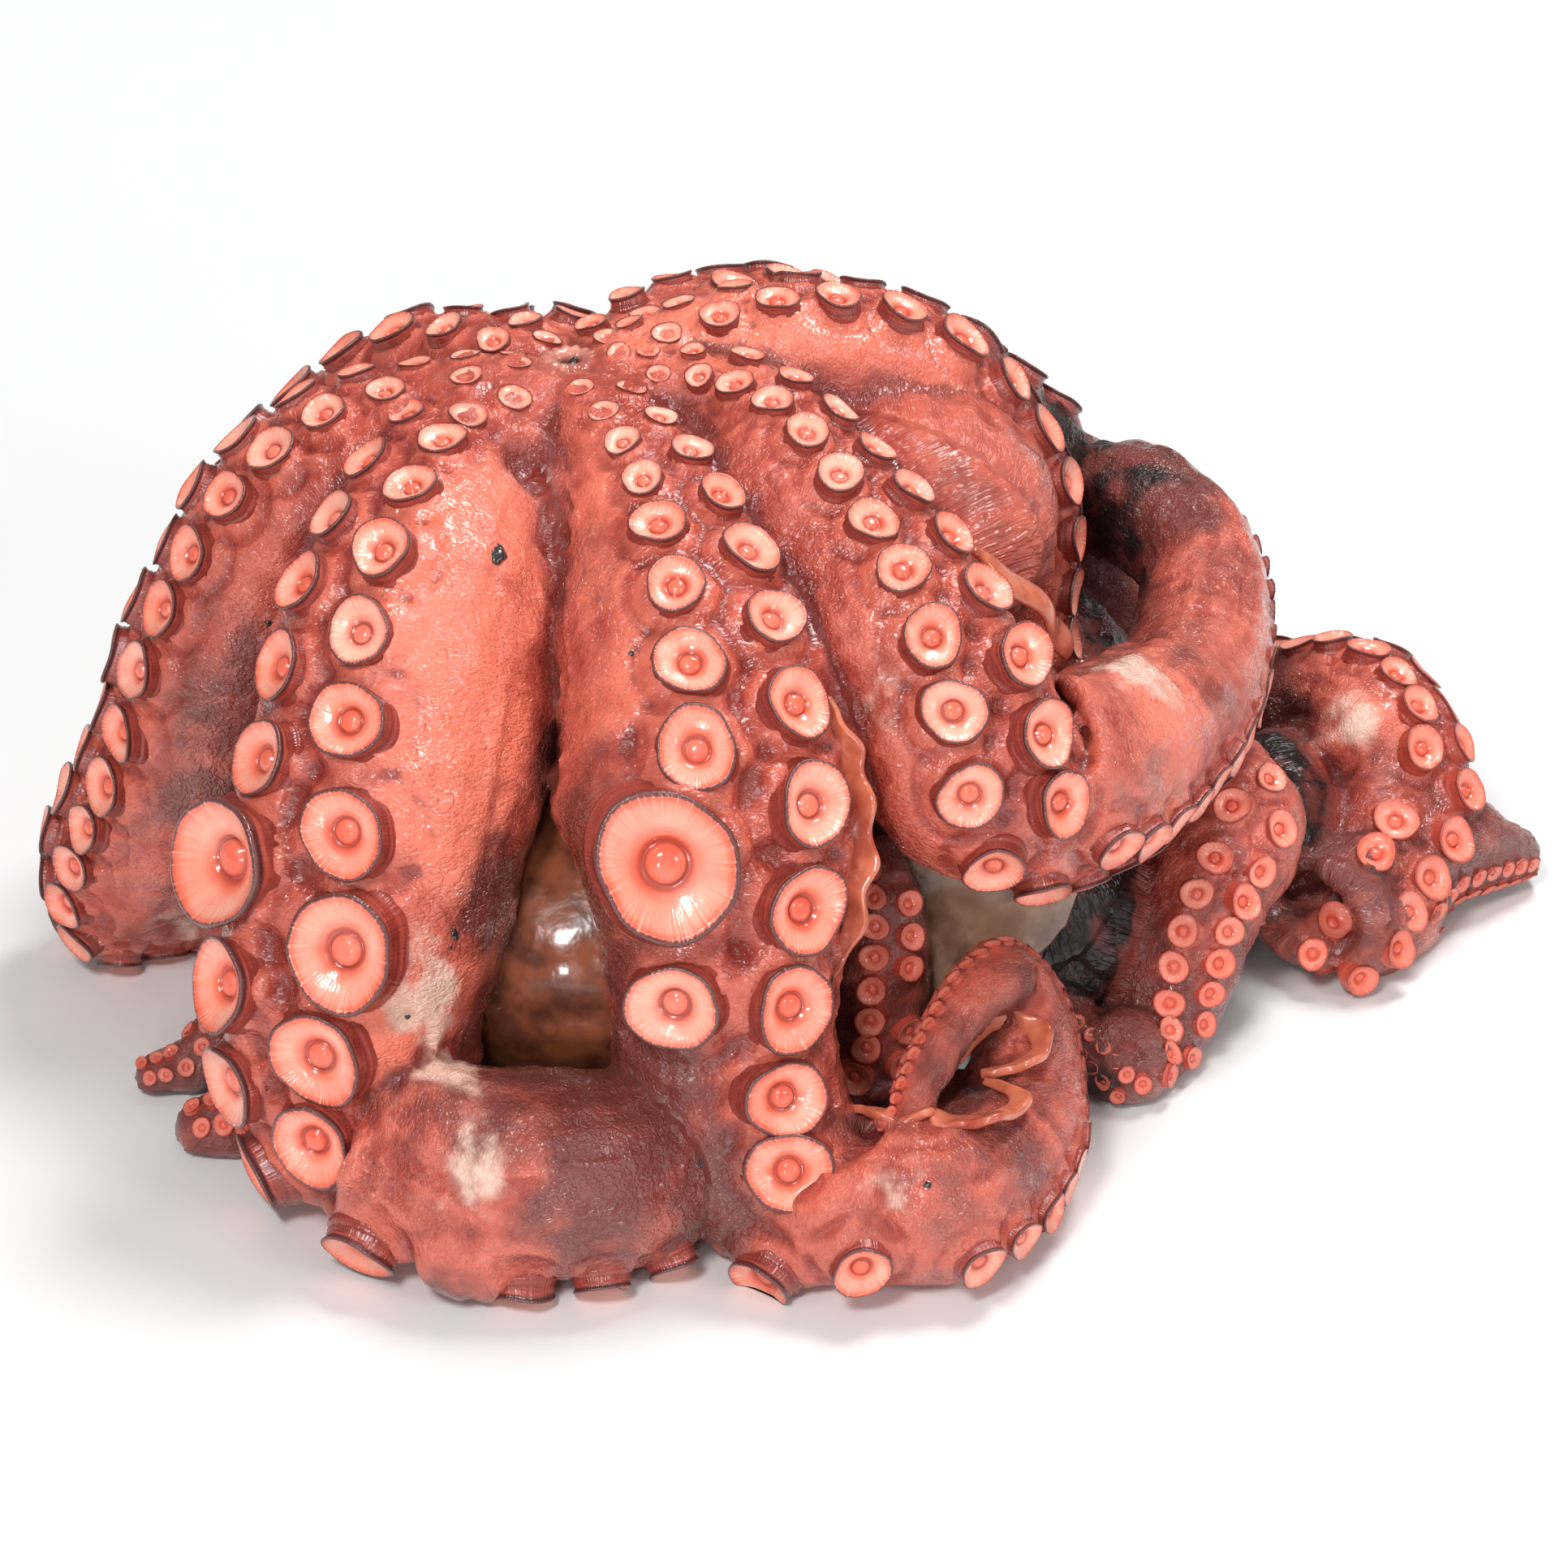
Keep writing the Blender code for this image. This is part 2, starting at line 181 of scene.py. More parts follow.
def deselect() -> None:
    """Leaves object mode with nothing selected."""
    if bpy.context.mode != "OBJECT":
        bpy.ops.object.mode_set(mode="OBJECT")
    bpy.ops.object.select_all(action="DESELECT")


def make_active(piece: bpy.types.Object) -> None:
    """Selects one object alone and makes it the active one."""
    deselect()
    piece.select_set(True)
    bpy.context.view_layer.objects.active = piece


def coordinates(piece: bpy.types.Object) -> np.ndarray:
    """The piece's vertices as rows of three numbers, in metres."""
    flat = np.empty(len(piece.data.vertices) * 3, np.float32)
    piece.data.vertices.foreach_get("co", flat)
    return flat.reshape(-1, 3).astype(float)


def move_vertices(piece: bpy.types.Object, places: np.ndarray) -> None:
    """Puts the piece's vertices at these places."""
    piece.data.vertices.foreach_set("co", places.astype(np.float32).ravel())
    piece.data.update()


def vertex_normals(piece: bpy.types.Object) -> np.ndarray:
    """The piece's vertex normals as rows."""
    flat = np.empty(len(piece.data.vertices) * 3, np.float32)
    piece.data.vertex_normals.foreach_get("vector", flat)
    return flat.reshape(-1, 3).astype(float)


def set_attribute(piece: bpy.types.Object, name: str, values: np.ndarray) -> None:
    """Stores one number or one vector for each vertex.

    Args:
        piece: The mesh object.
        name: The attribute's name.
        values: One value, or one row of three, for each vertex.
    """
    kind, key = ("FLOAT", "value") if values.ndim == 1 else ("FLOAT_VECTOR", "vector")
    attribute = piece.data.attributes.new(name, kind, "POINT")
    attribute.data.foreach_set(key, values.astype(np.float32).ravel())


def apply_modifier(piece: bpy.types.Object, kind: str, **settings: object) -> None:
    """Adds a modifier and applies it at once.

    Args:
        piece: The object to change.
        kind: Blender's name of the modifier's type.
        **settings: The modifier's own settings.
    """
    make_active(piece)
    modifier = piece.modifiers.new(kind.lower(), kind)
    for name, value in settings.items():
        setattr(modifier, name, value)
    bpy.ops.object.modifier_apply(modifier=modifier.name)


def face_outward(piece: bpy.types.Object) -> None:
    """Turns every face of a closed piece outward."""
    make_active(piece)
    bpy.ops.object.mode_set(mode="EDIT")
    bpy.ops.mesh.select_all(action="SELECT")
    bpy.ops.mesh.normals_make_consistent(inside=False)
    bpy.ops.object.mode_set(mode="OBJECT")


def named_solid(name: str) -> bpy.types.Object:
    """Names the solid just added and applies its place and scale to its points."""
    solid = bpy.context.object
    solid.name = name
    bpy.ops.object.transform_apply(location=True, rotation=True, scale=True)
    return solid


def in_metres(centre: tuple) -> np.ndarray:
    """A table's point on the finished object, in metres."""
    return (np.array(centre) - CENTRE) * MM


def joined(pieces: list, name: str) -> bpy.types.Object:
    """Several mesh objects made into one.

    Args:
        pieces: The objects, all at the origin.
        name: The joined object's name.

    Returns:
        The one object.
    """
    deselect()
    for piece in pieces:
        piece.select_set(True)
    bpy.context.view_layer.objects.active = pieces[0]
    if len(pieces) > 1:
        bpy.ops.object.join()
    pieces[0].name = name
    pieces[0].data.name = name
    return pieces[0]


def keep_in_box(piece: bpy.types.Object) -> None:
    """Presses the few points that would pass the solid's outline or the resting plane back onto it."""
    low, high = (np.array(corner) for corner in CAD_BOX)
    margin = BOX_MARGIN * MM
    move_vertices(piece, np.clip(coordinates(piece), low + margin, high - margin))


def hand_over(piece: bpy.types.Object, material: bpy.types.Material) -> None:
    """Dresses a finished piece and ties it to the frame.

    Args:
        piece: The finished mesh object.
        material: Its finish.
    """
    keep_in_box(piece)
    piece.data.materials.clear()
    piece.data.materials.append(material)
    make_active(piece)
    bpy.ops.object.shade_smooth()
    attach(piece, "root")
    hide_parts("octopus")
    log.info("%s: %d faces", piece.name, len(piece.data.polygons))


# Stations of each arm: x, y, z, half width, half depth, sucker diameter, and the way the suckers face.
FRONT_ARM = (
    (-43, 14, 146, 10, 12, 5, (1, -1, 10)),
    (-33, 0, 144, 16, 16, 7, (1, -3, 9)),
    (-22, -22, 138, 21, 19, 10, (2, -5, 8)),
    (-15, -42, 130, 26, 23, 12.5, (3, -7, 6)),
    (-10, -58, 120, 29, 26, 14, (3, -9, 4)),
    (-7, -70, 107, 31, 27, 16, (3, -9, 3)),
    (-6, -80, 93, 31, 27, 17, (3, -9, 2)),
    (-8, -88, 76, 27, 24, 18, (2, -10, 1)),
    (-10, -94, 57, 23, 21, 18, (1, -10, 1)),
    (-11, -99, 37, 22, 19, 17, (0, -10, 1)),
    (-7, -105, 20, 21, 18, 16, (-1, -10, -1)),
    (3, -112, 10, 20, 17, 14, (0, -9, -4)),
    (18, -111, 5, 18, 17, 12, (2, -8, -5)),
    (34, -110, 5, 18, 17, 11, (3, -8, -5)),
    (48, -99, 6, 17, 16, 9, (7, -6, -4)),
    (59, -78, 9, 15, 15, 7, (9, -1, -3)),
    (61, -60, 19, 12, 12, 5, (9, 4, 1)),
    (56, -49, 34, 10, 9, 4.5, (6, 6, 5)),
    (46, -50, 46, 8, 7, 4, (0, 5, 9)),
    (36, -62, 47, 7, 6, 4, (-6, 4, 7)),
    (28, -75, 41, 6, 5, 3.5, (-7, 2, 6)),
    (22, -87, 33, 5, 4, 3, (-8, 0, 5)),
    (20, -93, 27, 3, 3, 2.5, (-8, -1, 4)),
)
FRONT_LEFT_ARM = (
    (-47, 14, 146, 10, 12, 5, (0, -1, 10)),
    (-57, 8, 145, 15, 16, 7, (-1, -2, 10)),
    (-70, -1, 143, 20, 19, 9, (-3, -4, 9)),
    (-78, -18, 139, 24, 22, 11.5, (-5, -6, 7)),
    (-84, -34, 132, 27, 25, 13, (-6, -7, 5)),
    (-89, -48, 122, 28, 27, 14, (-6, -8, 4)),
    (-92, -60, 108, 28, 28, 16, (-6, -8, 3)),
    (-94, -71, 92, 28, 28, 18, (-6, -9, 2)),
    (-97, -79, 70, 27, 27, 20, (-6, -9, 1)),
    (-101, -85, 48, 25, 25, 19, (-6, -9, -1)),
    (-101, -88, 26, 23, 23, 18, (-6, -8, -3)),
    (-94, -90, 7, 21, 21, 17, (-5, -7, -6)),
    (-80, -98, 3, 20, 20, 15, (-2, -6, -9)),
    (-61, -101, 2, 20, 20, 14, (1, -3, -10)),
    (-43, -102, 2, 20, 20, 13, (2, -3, -10)),
    (-27, -97, 2, 19, 19, 11, (3, -3, -10)),
    (-6, -80, 3, 17, 17, 9, (4, -6, -7)),
    (13, -62, 9, 13, 13, 8, (3, -8, -4)),
    (21, -59, 25, 10, 9, 7, (2, -9, 1)),
    (22, -57, 41, 9, 8, 6.5, (2, -9, 2)),
    (22, -51, 55, 8, 7, 6, (2, -8, 4)),
    (19, -42, 67, 5, 5, 5, (2, -7, 6)),
)
LEFT_ARM = (
    (-49, 17, 146, 10, 12, 5, (-1, 0, 10)),
    (-64, 14, 147, 14, 15, 6.5, (-3, -1, 9)),
    (-79, 12, 145, 18, 17, 8, (-5, -1, 8)),
    (-93, 10, 142, 20, 18, 10, (-6, -1, 8)),
    (-108, 8, 133, 21, 19, 11, (-7, -2, 7)),
    (-120, 4, 121, 21, 20, 11, (-8, -3, 5)),
    (-129, 2, 105, 21, 21, 12, (-9, -3, 4)),
    (-137, 0, 89, 22, 22, 13, (-9, -3, 2)),
    (-143, 0, 70, 22, 22, 13, (-10, -3, 1)),
    (-152, 4, 49, 21, 21, 12, (-10, -3, 0)),
    (-161, 10, 26, 19, 19, 12, (-9, -3, -3)),
    (-156, 15, 6, 17, 17, 11, (-5, -3, -8)),
    (-125, 26, 3, 15, 15, 9, (0, 1, -10)),
    (-98, 8, 3, 13, 13, 8, (0, 1, -10)),
    (-96, -28, 3, 11, 11, 7, (0, 1, -10)),
    (-100, -58, 8, 10, 10, 6, (-7, -5, -2)),
    (-114, -60, 11, 9, 9, 5, (-6, -5, 6)),
    (-127, -60, 8, 6, 6, 4, (-5, -5, 7)),
)
FRONT_RIGHT_ARM = (
    (-41, 17, 146, 10, 12, 5, (2, -1, 10)),
    (-28, 15, 147, 14, 15, 5.5, (2, -2, 9)),
    (-11, 10, 148, 17, 17, 7.5, (3, -3, 9)),
    (3, -2, 146, 19, 19, 9, (5, -4, 8)),
    (15, -18, 139, 20, 20, 10, (6, -5, 7)),
    (26, -33, 130, 21, 21, 11, (6, -7, 5)),
    (34, -46, 121, 22, 22, 13, (6, -8, 3)),
    (40, -55, 108, 23, 22, 14, (5, -9, 2)),
    (44, -62, 94, 23, 22, 14, (4, -9, 0)),
    (50, -62, 76, 22, 21, 13, (4, -8, -4)),
    (66, -48, 65, 21, 20, 11, (5, -6, -6)),
    (83, -26, 63, 21, 19, 9, (8, -3, -6)),
    (98, 0, 66, 19, 16, 8, (10, 0, -3)),
    (105, 28, 74, 16, 14, 7, (10, 3, -2)),
    (103, 55, 83, 14, 12, 6, (8, 6, -1)),
    (88, 80, 88, 14, 13, 5, (4, 9, 0)),
    (68, 98, 80, 11, 10, 4, (0, 10, 0)),
    (45, 100, 60, 8, 8, 3, (-2, 10, -1)),
    (30, 94, 40, 6, 6, 3, (-3, 9, -2)),
)
RIGHT_ARM = (
    (-42, 21, 145, 10, 12, 5, (2, 0, 10)),
    (-28, 26, 150, 14, 15, 7, (2, 0, 10)),
    (-13, 32, 153, 17, 17, 9, (3, 1, 10)),
    (2, 37, 154, 19, 19, 10, (4, 2, 9)),
    (19, 40, 151, 20, 20, 11, (5, 2, 8)),
    (35, 42, 144, 21, 21, 12, (7, 2, 7)),
    (47, 43, 132, 21, 21, 12, (9, 2, 5)),
    (57, 42, 117, 20, 20, 12, (10, 1, 2)),
    (62, 38, 100, 18, 18, 11, (10, 0, -1)),
    (62, 28, 72, 16, 16, 10, (8, -2, -5)),
    (80, 14, 50, 15, 15, 9, (3, -5, 8)),
    (97, 4, 57, 14, 14, 8, (3, -5, 8)),
    (102, -6, 48, 14, 14, 8, (2, -8, 5)),
    (93, -18, 36, 14, 14, 7.5, (1, -9, 4)),
    (88, -26, 23, 13, 13, 7, (1, -9, 3)),
    (86, -32, 10, 12, 12, 6, (3, -9, 0)),
    (81, -42, 3, 11, 11, 5, (4, -8, -4)),
    (73, -45, 6, 9, 9, 4, (-1, -9, 0)),
    (66, -40, 12, 7, 7, 3.5, (-3, -7, 5)),
    (60, -36, 16, 6, 6, 3.5, (-1, -7, 6)),
    (52, -33, 18, 4, 4, 3, (0, -7, 6)),
)
BACK_RIGHT_ARM = (
    (-45, 25, 143, 10, 12, 5, (1, 1, 10)),
    (-35, 38, 146, 14, 15, 8, (1, 1, 10)),
    (-22, 54, 147, 17, 17, 10, (2, 3, 9)),
    (-7, 68, 144, 19, 19, 11, (3, 5, 8)),
    (8, 80, 136, 20, 20, 12, (5, 6, 7)),
    (42, 98, 112, 20, 20, 13, (6, 8, 3)),
    (66, 110, 85, 19, 19, 12, (6, 8, 0)),
    (86, 112, 58, 18, 18, 11, (5, 8, 4)),
    (112, 98, 37, 16, 16, 10, (2, 3, 9)),
    (137, 74, 48, 17, 16, 10, (4, 1, 9)),
    (149, 52, 43, 18, 16, 10, (7, -4, 5)),
    (149, 36, 32, 18, 16, 10.5, (3, -8, 5)),
    (140, 22, 22, 17, 16, 10, (0, -9, 4)),
    (130, 10, 13, 16, 15, 9, (-2, -9, 2)),
    (121, 1, 7, 14, 13, 7, (-3, -8, -3)),
    (130, 14, 7, 13, 11, 6, (7, -5, -5)),
    (149, 27, 9, 14, 11, 5, (6, -7, -4)),
    (161, 35, 9, 13, 10, 4.5, (6, -7, -4)),
    (171, 42, 7, 8, 7, 4, (6, -7, -4)),
    (177, 47, 5, 3, 3, 3, (6, -7, -4)),
)
BACK_ARM = (
    (-47, 27, 143, 10, 12, 5, (0, 1, 10)),
    (-50, 40, 145, 14, 15, 8, (0, 2, 10)),
    (-53, 54, 141, 17, 17, 11, (0, 5, 9)),
    (-52, 74, 128, 20, 20, 13, (0, 7, 7)),
    (-50, 92, 100, 22, 22, 15, (1, 9, 3)),
    (-44, 100, 68, 22, 22, 16, (1, 10, 1)),
    (-30, 104, 36, 21, 21, 13, (1, 10, -1)),
    (-6, 106, 10, 18, 18, 10, (3, 9, -4)),
    (25, 104, 3, 15, 15, 8, (4, 5, -8)),
    (58, 96, 3, 12, 12, 6, (2, 4, -9)),
    (88, 88, 3, 8, 8, 4, (1, 4, -9)),
)
BACK_LEFT_ARM = (
    (-48, 24, 143, 10, 12, 5, (-1, 1, 10)),
    (-59, 33, 146, 14, 15, 8, (-2, 2, 10)),
    (-72, 44, 144, 17, 17, 10, (-4, 3, 9)),
    (-88, 54, 136, 19, 19, 12, (-6, 4, 7)),
    (-112, 62, 112, 20, 20, 13, (-8, 6, 4)),
    (-130, 64, 84, 21, 21, 14, (-9, 5, 2)),
    (-138, 62, 54, 20, 20, 13, (-9, 4, 0)),
    (-136, 58, 26, 18, 18, 11, (-9, 4, -3)),
    (-118, 48, 4, 15, 15, 8, (-5, 3, -8)),
    (-98, 20, 3, 12, 12, 6, (-3, 0, -10)),
    (-98, -14, 8, 9, 9, 5, (-8, 0, -4)),
    (-121, -28, 17, 7, 7, 4, (-8, 0, 4)),
    (-128, -38, 10, 6, 6, 4, (-3, -6, 7)),
    (-139, -39, 6, 4, 4, 3, (-3, -6, 7)),
)


@dataclass(frozen=True)
class CupSite:
    """Where one sucker stands: its foot, facing, heading along the arm, diameter and darkness."""

    place: np.ndarray
    facing: np.ndarray
    heading: np.ndarray
    diameter: float
    tone: float


@dataclass(frozen=True)
class CupRules:
    """How suckers are set on an arm. Plain numbers are shares of the sucker's diameter."""

    stagger: float = 0.55  # how far the second row starts behind the first
    end_margin: float = 1.0  # bare length left at the tip, in millimetres
    giant_room: float = 0.4  # how near a row comes to an overgrown sucker before it steps onto it
    size_scatter: float = 0.05
    own_spread: float = 0.50  # distance from the arm's midline
    arm_spread: float = 0.08  # what is added to it, in half widths of the arm
    most_spread: float = 0.8  # its limit, in half widths of the arm
    settled_size: float = 15.0  # an overgrown sucker over this many millimetres turns less to the side
    side_lean: float = 0.9
    probe_height: float = 12.0  # where the search for the skin starts above the arm, in millimetres
    probe_length: float = 30.0
    least_agreement: float = 0.35  # cosine between the skin's normal and the way the sucker faces
    most_shift: float = 9.0  # how far off the planned place the skin may lie, in millimetres
    floor_gap: float = 1.2  # least height over the resting plane in millimetres, with the next one
    floor_share: float = 0.15
    skin_pull: float = 0.8  # how far the sucker turns towards the skin's normal
    facing_scatter: float = 0.07
    rim_height: float = 0.27
    rim_radius: float = 0.5
    rim_checks: int = 8
    rim_depth: float = 0.06  # how far the rim may dip under the skin


@dataclass
class Arm:
    """One arm: a flattened tube along its stations, with two rows of suckers on its face."""

    name: str
    stations: tuple
    giants: tuple = ()  # row, height and diameter of each overgrown sucker
    first_cup: float = 7.0
    dark_from: float = 0.55  # share of the length at which the skin starts to darken
    dark_end: float = 0.7  # darkness at the tip
    back_tone: float = 0.45  # darkness of the side away from the suckers
    ring_sides: int = 26
    spans: int = 7
    squareness: float = 2.3
    cap: float = 0.5  # how far each closed end reaches past the last ring, in half depths
    pitch: float = 1.05  # gap from one sucker to the next, in diameters
    early_pitch: float = 0.75  # what is added to it at the mouth, and how far along the arm that fades
    early_reach: float = 55.0
    rules: CupRules = CupRules()
    course: dict = field(default_factory=dict)

    def __post_init__(self) -> None:
        """Works out the arm's course from its stations."""
        rows = np.array([[*row[:6], *Vector(row[6]).normalized()] for row in self.stations], float)
        eased = catmull_rom(rows, self.spans)
        points = eased[:, :3] - CENTRE
        along = unit(np.gradient(points, axis=0))
        face = eased[:, 6:9]
        face = unit(face - (face * along).sum(axis=1, keepdims=True) * along)
        steps = np.linalg.norm(np.diff(points, axis=0), axis=1)
        self.course = {
            "point": points,
            "width": eased[:, 3],
            "depth": eased[:, 4],
            "cup": eased[:, 5],
            "along": along,
            "face": face,
            "across": np.cross(along, face),
            "length": np.concatenate([[0.0], np.cumsum(steps)]),
        }

    def at(self, key: str, travelled: float) -> np.ndarray:
        """The course's value at a length along the arm."""
        lengths = self.course["length"]
        values = self.course[key]
        if values.ndim == 1:
            return np.interp(travelled, lengths, values)
        return np.array([np.interp(travelled, lengths, column) for column in values.T])

    def tone(self, share: np.ndarray) -> np.ndarray:
        """How dark the skin is at a share of the arm's length."""
        return self.dark_end * smoothstep(share, self.dark_from, 1.0)

    def tube(self) -> bpy.types.Object:
        """A ball drawn out along the course, so that both of its ends are closed and round.

        Returns:
            The tube, in metres.
        """
        rings = len(self.course["length"])
        bpy.ops.mesh.primitive_uv_sphere_add(segments=self.ring_sides, ring_count=rings + 1)
        tube = bpy.context.object
        tube.name = self.name
        ball = coordinates(tube)
        latitude = np.arccos(np.clip(ball[:, 2], -1.0, 1.0)) / math.pi * (rings + 1)
        ring = np.clip(np.rint(latitude) - 1, 0, rings - 1).astype(int)
        pole = np.hypot(ball[:, 0], ball[:, 1]) < 1e-4
        angle = np.arctan2(ball[:, 1], ball[:, 0])
        power = self.squareness
        reach = (np.abs(np.cos(angle)) ** power + np.abs(np.sin(angle)) ** power) ** (-1.0 / power)
        reach = np.where(pole, 0.0, reach)
        course = {key: values[ring] for key, values in self.course.items()}
        outward = (np.cos(angle) * reach * course["depth"] - course["depth"])[:, None] * course["face"]
        sideways = (np.sin(angle) * reach * course["width"])[:, None] * course["across"]
        past_end = np.where(ring == 0, -self.cap, self.cap) * np.where(pole, course["depth"], 0.0)
        places = course["point"] + outward + sideways + past_end[:, None] * course["along"]
        move_vertices(tube, places * MM)
        face_outward(tube)
        return tube

    def row_of_cups(self, row: Row) -> list:
        """Lengths along the arm and diameters of one row's suckers.

        Args:
            row: Which of the two rows.

        Returns:
            Pairs of length and diameter.
        """
        giants = {}
        for side, height, size in self.giants:
            if side is row:
                nearest = int(np.argmin(np.abs(self.course["point"][:, 2] - height)))
                giants[self.course["length"][nearest]] = size
        cups = []
        travelled = self.first_cup
        if row is Row.SECOND:
            first_step = self.at("cup", travelled) * (self.pitch + self.early_pitch)
            travelled += self.rules.stagger * first_step
        size = float(self.at("cup", travelled))
        while travelled < self.course["length"][-1] - self.rules.end_margin:
            cups.append((travelled, size))
            pitch = self.pitch + self.early_pitch * math.exp(-travelled / self.early_reach)
            following = float(self.at("cup", travelled + size))
            ahead = travelled + pitch * (size + following) / 2
            for where in sorted(giants):
                if ahead > where - self.rules.giant_room * size:
                    following = giants.pop(where)
                    ahead = travelled + self.pitch * (size + following) / 2
                    break
            travelled, size = ahead, following
        return cups

    def rim_is_buried(self, surface: BVHTree, foot: np.ndarray, facing: np.ndarray, size: float) -> bool:
        """Tells whether a sucker's rim would cut into a neighbouring arm.

        Args:
            surface: The skin, in metres.
            foot: Where the sucker stands, in millimetres.
            facing: The way it faces.
            size: Its diameter.

        Returns:
            True if some of its rim lies well under the skin.
        """
        side = unit(np.cross(facing, (0.3, 0.5, 0.8)))
        other = np.cross(facing, side)
        rules = self.rules
        for angle in np.linspace(0.0, math.tau, rules.rim_checks, endpoint=False):
            outward = math.cos(angle) * side + math.sin(angle) * other
            rim = foot + (rules.rim_height * facing + rules.rim_radius * outward) * size
            spot = Vector(rim * MM)
            nearest, normal, _, _ = surface.find_nearest(spot)
            if (spot - nearest).dot(normal) < -rules.rim_depth * size * MM:
                return True
        return False

    def cup_sites(self, surface: BVHTree, rng: np.random.Generator) -> list:
        """Finds where each sucker meets the skin.

        Args:
            surface: The skin, in metres.
            rng: Source of small irregularities.

        Returns:
            The CupSite of each sucker that isn't buried in another arm or in the resting plane.
        """
        sites = []
        rules = self.rules
        total = self.course["length"][-1]
        for row in Row:
            for travelled, size in self.row_of_cups(row):
                size *= 1.0 + rules.size_scatter * rng.uniform(-1.0, 1.0)
                width = self.at("width", travelled)
                spread = min(rules.own_spread * size + rules.arm_spread * width, rules.most_spread * width)
                spread *= row.value
                facing = self.at("face", travelled)
                across = self.at("across", travelled)
                place = self.at("point", travelled) + across * spread
                settled = min(1.0, rules.settled_size / size) ** 2
                facing = unit(facing + across * (rules.side_lean * settled * spread / width))
                start = Vector((place + facing * rules.probe_height) * MM)
                hit, normal, _, _ = surface.ray_cast(start, Vector(-facing), rules.probe_length * MM)
                if hit is None or normal.dot(Vector(facing)) < rules.least_agreement:
                    continue
                hit = np.array(hit) / MM
                too_low = hit[2] < rules.floor_gap + rules.floor_share * size
                if np.linalg.norm(hit - place) > rules.most_shift or too_low:
                    continue
                scatter = rules.facing_scatter * rng.uniform(-1, 1, 3)
                facing = unit(facing + rules.skin_pull * settled * np.array(normal) + scatter)
                if self.rim_is_buried(surface, hit, facing, size):
                    continue
                heading = self.at("along", travelled)
                tone = float(self.tone(travelled / total))
                sites.append(CupSite(hit, facing, heading, size, tone))
        return sites


@dataclass(frozen=True)
class CupMould:
    """A sucker's shape as rings of radius and height, both in diameters, from its foot to its middle."""

    foot: tuple = ((0.49, -0.38), (0.52, -0.20))
    wall: tuple = (
        (0.545, -0.07), (0.530, 0.00), (0.490, 0.035), (0.500, 0.060), (0.470, 0.095),
        (0.482, 0.125), (0.462, 0.155), (0.474, 0.182),
    )
    rim: tuple = ((0.470, 0.204), (0.494, 0.226), (0.499, 0.246), (0.488, 0.263), (0.468, 0.270))
    dish: tuple = (
        (0.442, 0.258), (0.400, 0.224), (0.330, 0.180),
        (0.258, 0.144), (0.205, 0.120), (0.178, 0.098),
    )
    plug: tuple = ((0.156, 0.066), (0.141, 0.076), (0.125, 0.112), (0.088, 0.138), (0.045, 0.146))
    plain_wall: tuple = ((0.52, 0.00), (0.47, 0.09), (0.465, 0.17))
    plain_rim: tuple = ((0.495, 0.23), (0.46, 0.262))
    plain_dish: tuple = ((0.33, 0.175), (0.18, 0.085), (0.12, 0.120))

    def cast(self, detail: CupDetail) -> bpy.types.Object:
        """Turns a cylinder into a sucker by drawing out its top face, ring by ring.

        Args:
            detail: How fine the sucker is.

        Returns:
            A sucker one unit across, facing +Z.
        """
        segments = detail.value[0]
        if detail in (CupDetail.LARGE, CupDetail.MEDIUM):
            rings = self.foot + self.wall + self.rim + self.dish + self.plug
        elif detail is CupDetail.SMALL:
            rings = self.foot[:1] + self.plain_wall + self.rim[1:3] + self.dish[1::2] + self.plug[::2]
        else:
            rings = self.foot[:1] + self.plain_rim + self.plain_dish
        (radius, height), (next_radius, next_height) = rings[:2]
        deselect()
        bpy.ops.mesh.primitive_cone_add(
            vertices=segments,
            radius1=radius,
            radius2=next_radius,
            depth=next_height - height,
            end_fill_type="NGON",
            location=(0, 0, (height + next_height) / 2),
        )
        cup = named_solid("cup_" + detail.name.lower())
        bpy.ops.object.mode_set(mode="EDIT")
        bpy.ops.mesh.select_all(action="DESELECT")
        bpy.ops.mesh.select_mode(type="FACE")
        bpy.ops.object.mode_set(mode="OBJECT")
        for face in cup.data.polygons:
            face.select = face.normal.z > 0.9
        bpy.ops.object.mode_set(mode="EDIT")
        for (before, low), (after, high) in zip(rings[1:], rings[2:]):
            ratio = after / before
            bpy.ops.mesh.extrude_region_move(TRANSFORM_OT_translate={"value": (0, 0, high - low)})
            bpy.ops.transform.resize(value=(ratio, ratio, 1.0), center_override=(0, 0, high))
        bpy.ops.mesh.poke()
        bpy.ops.object.mode_set(mode="OBJECT")
        return cup


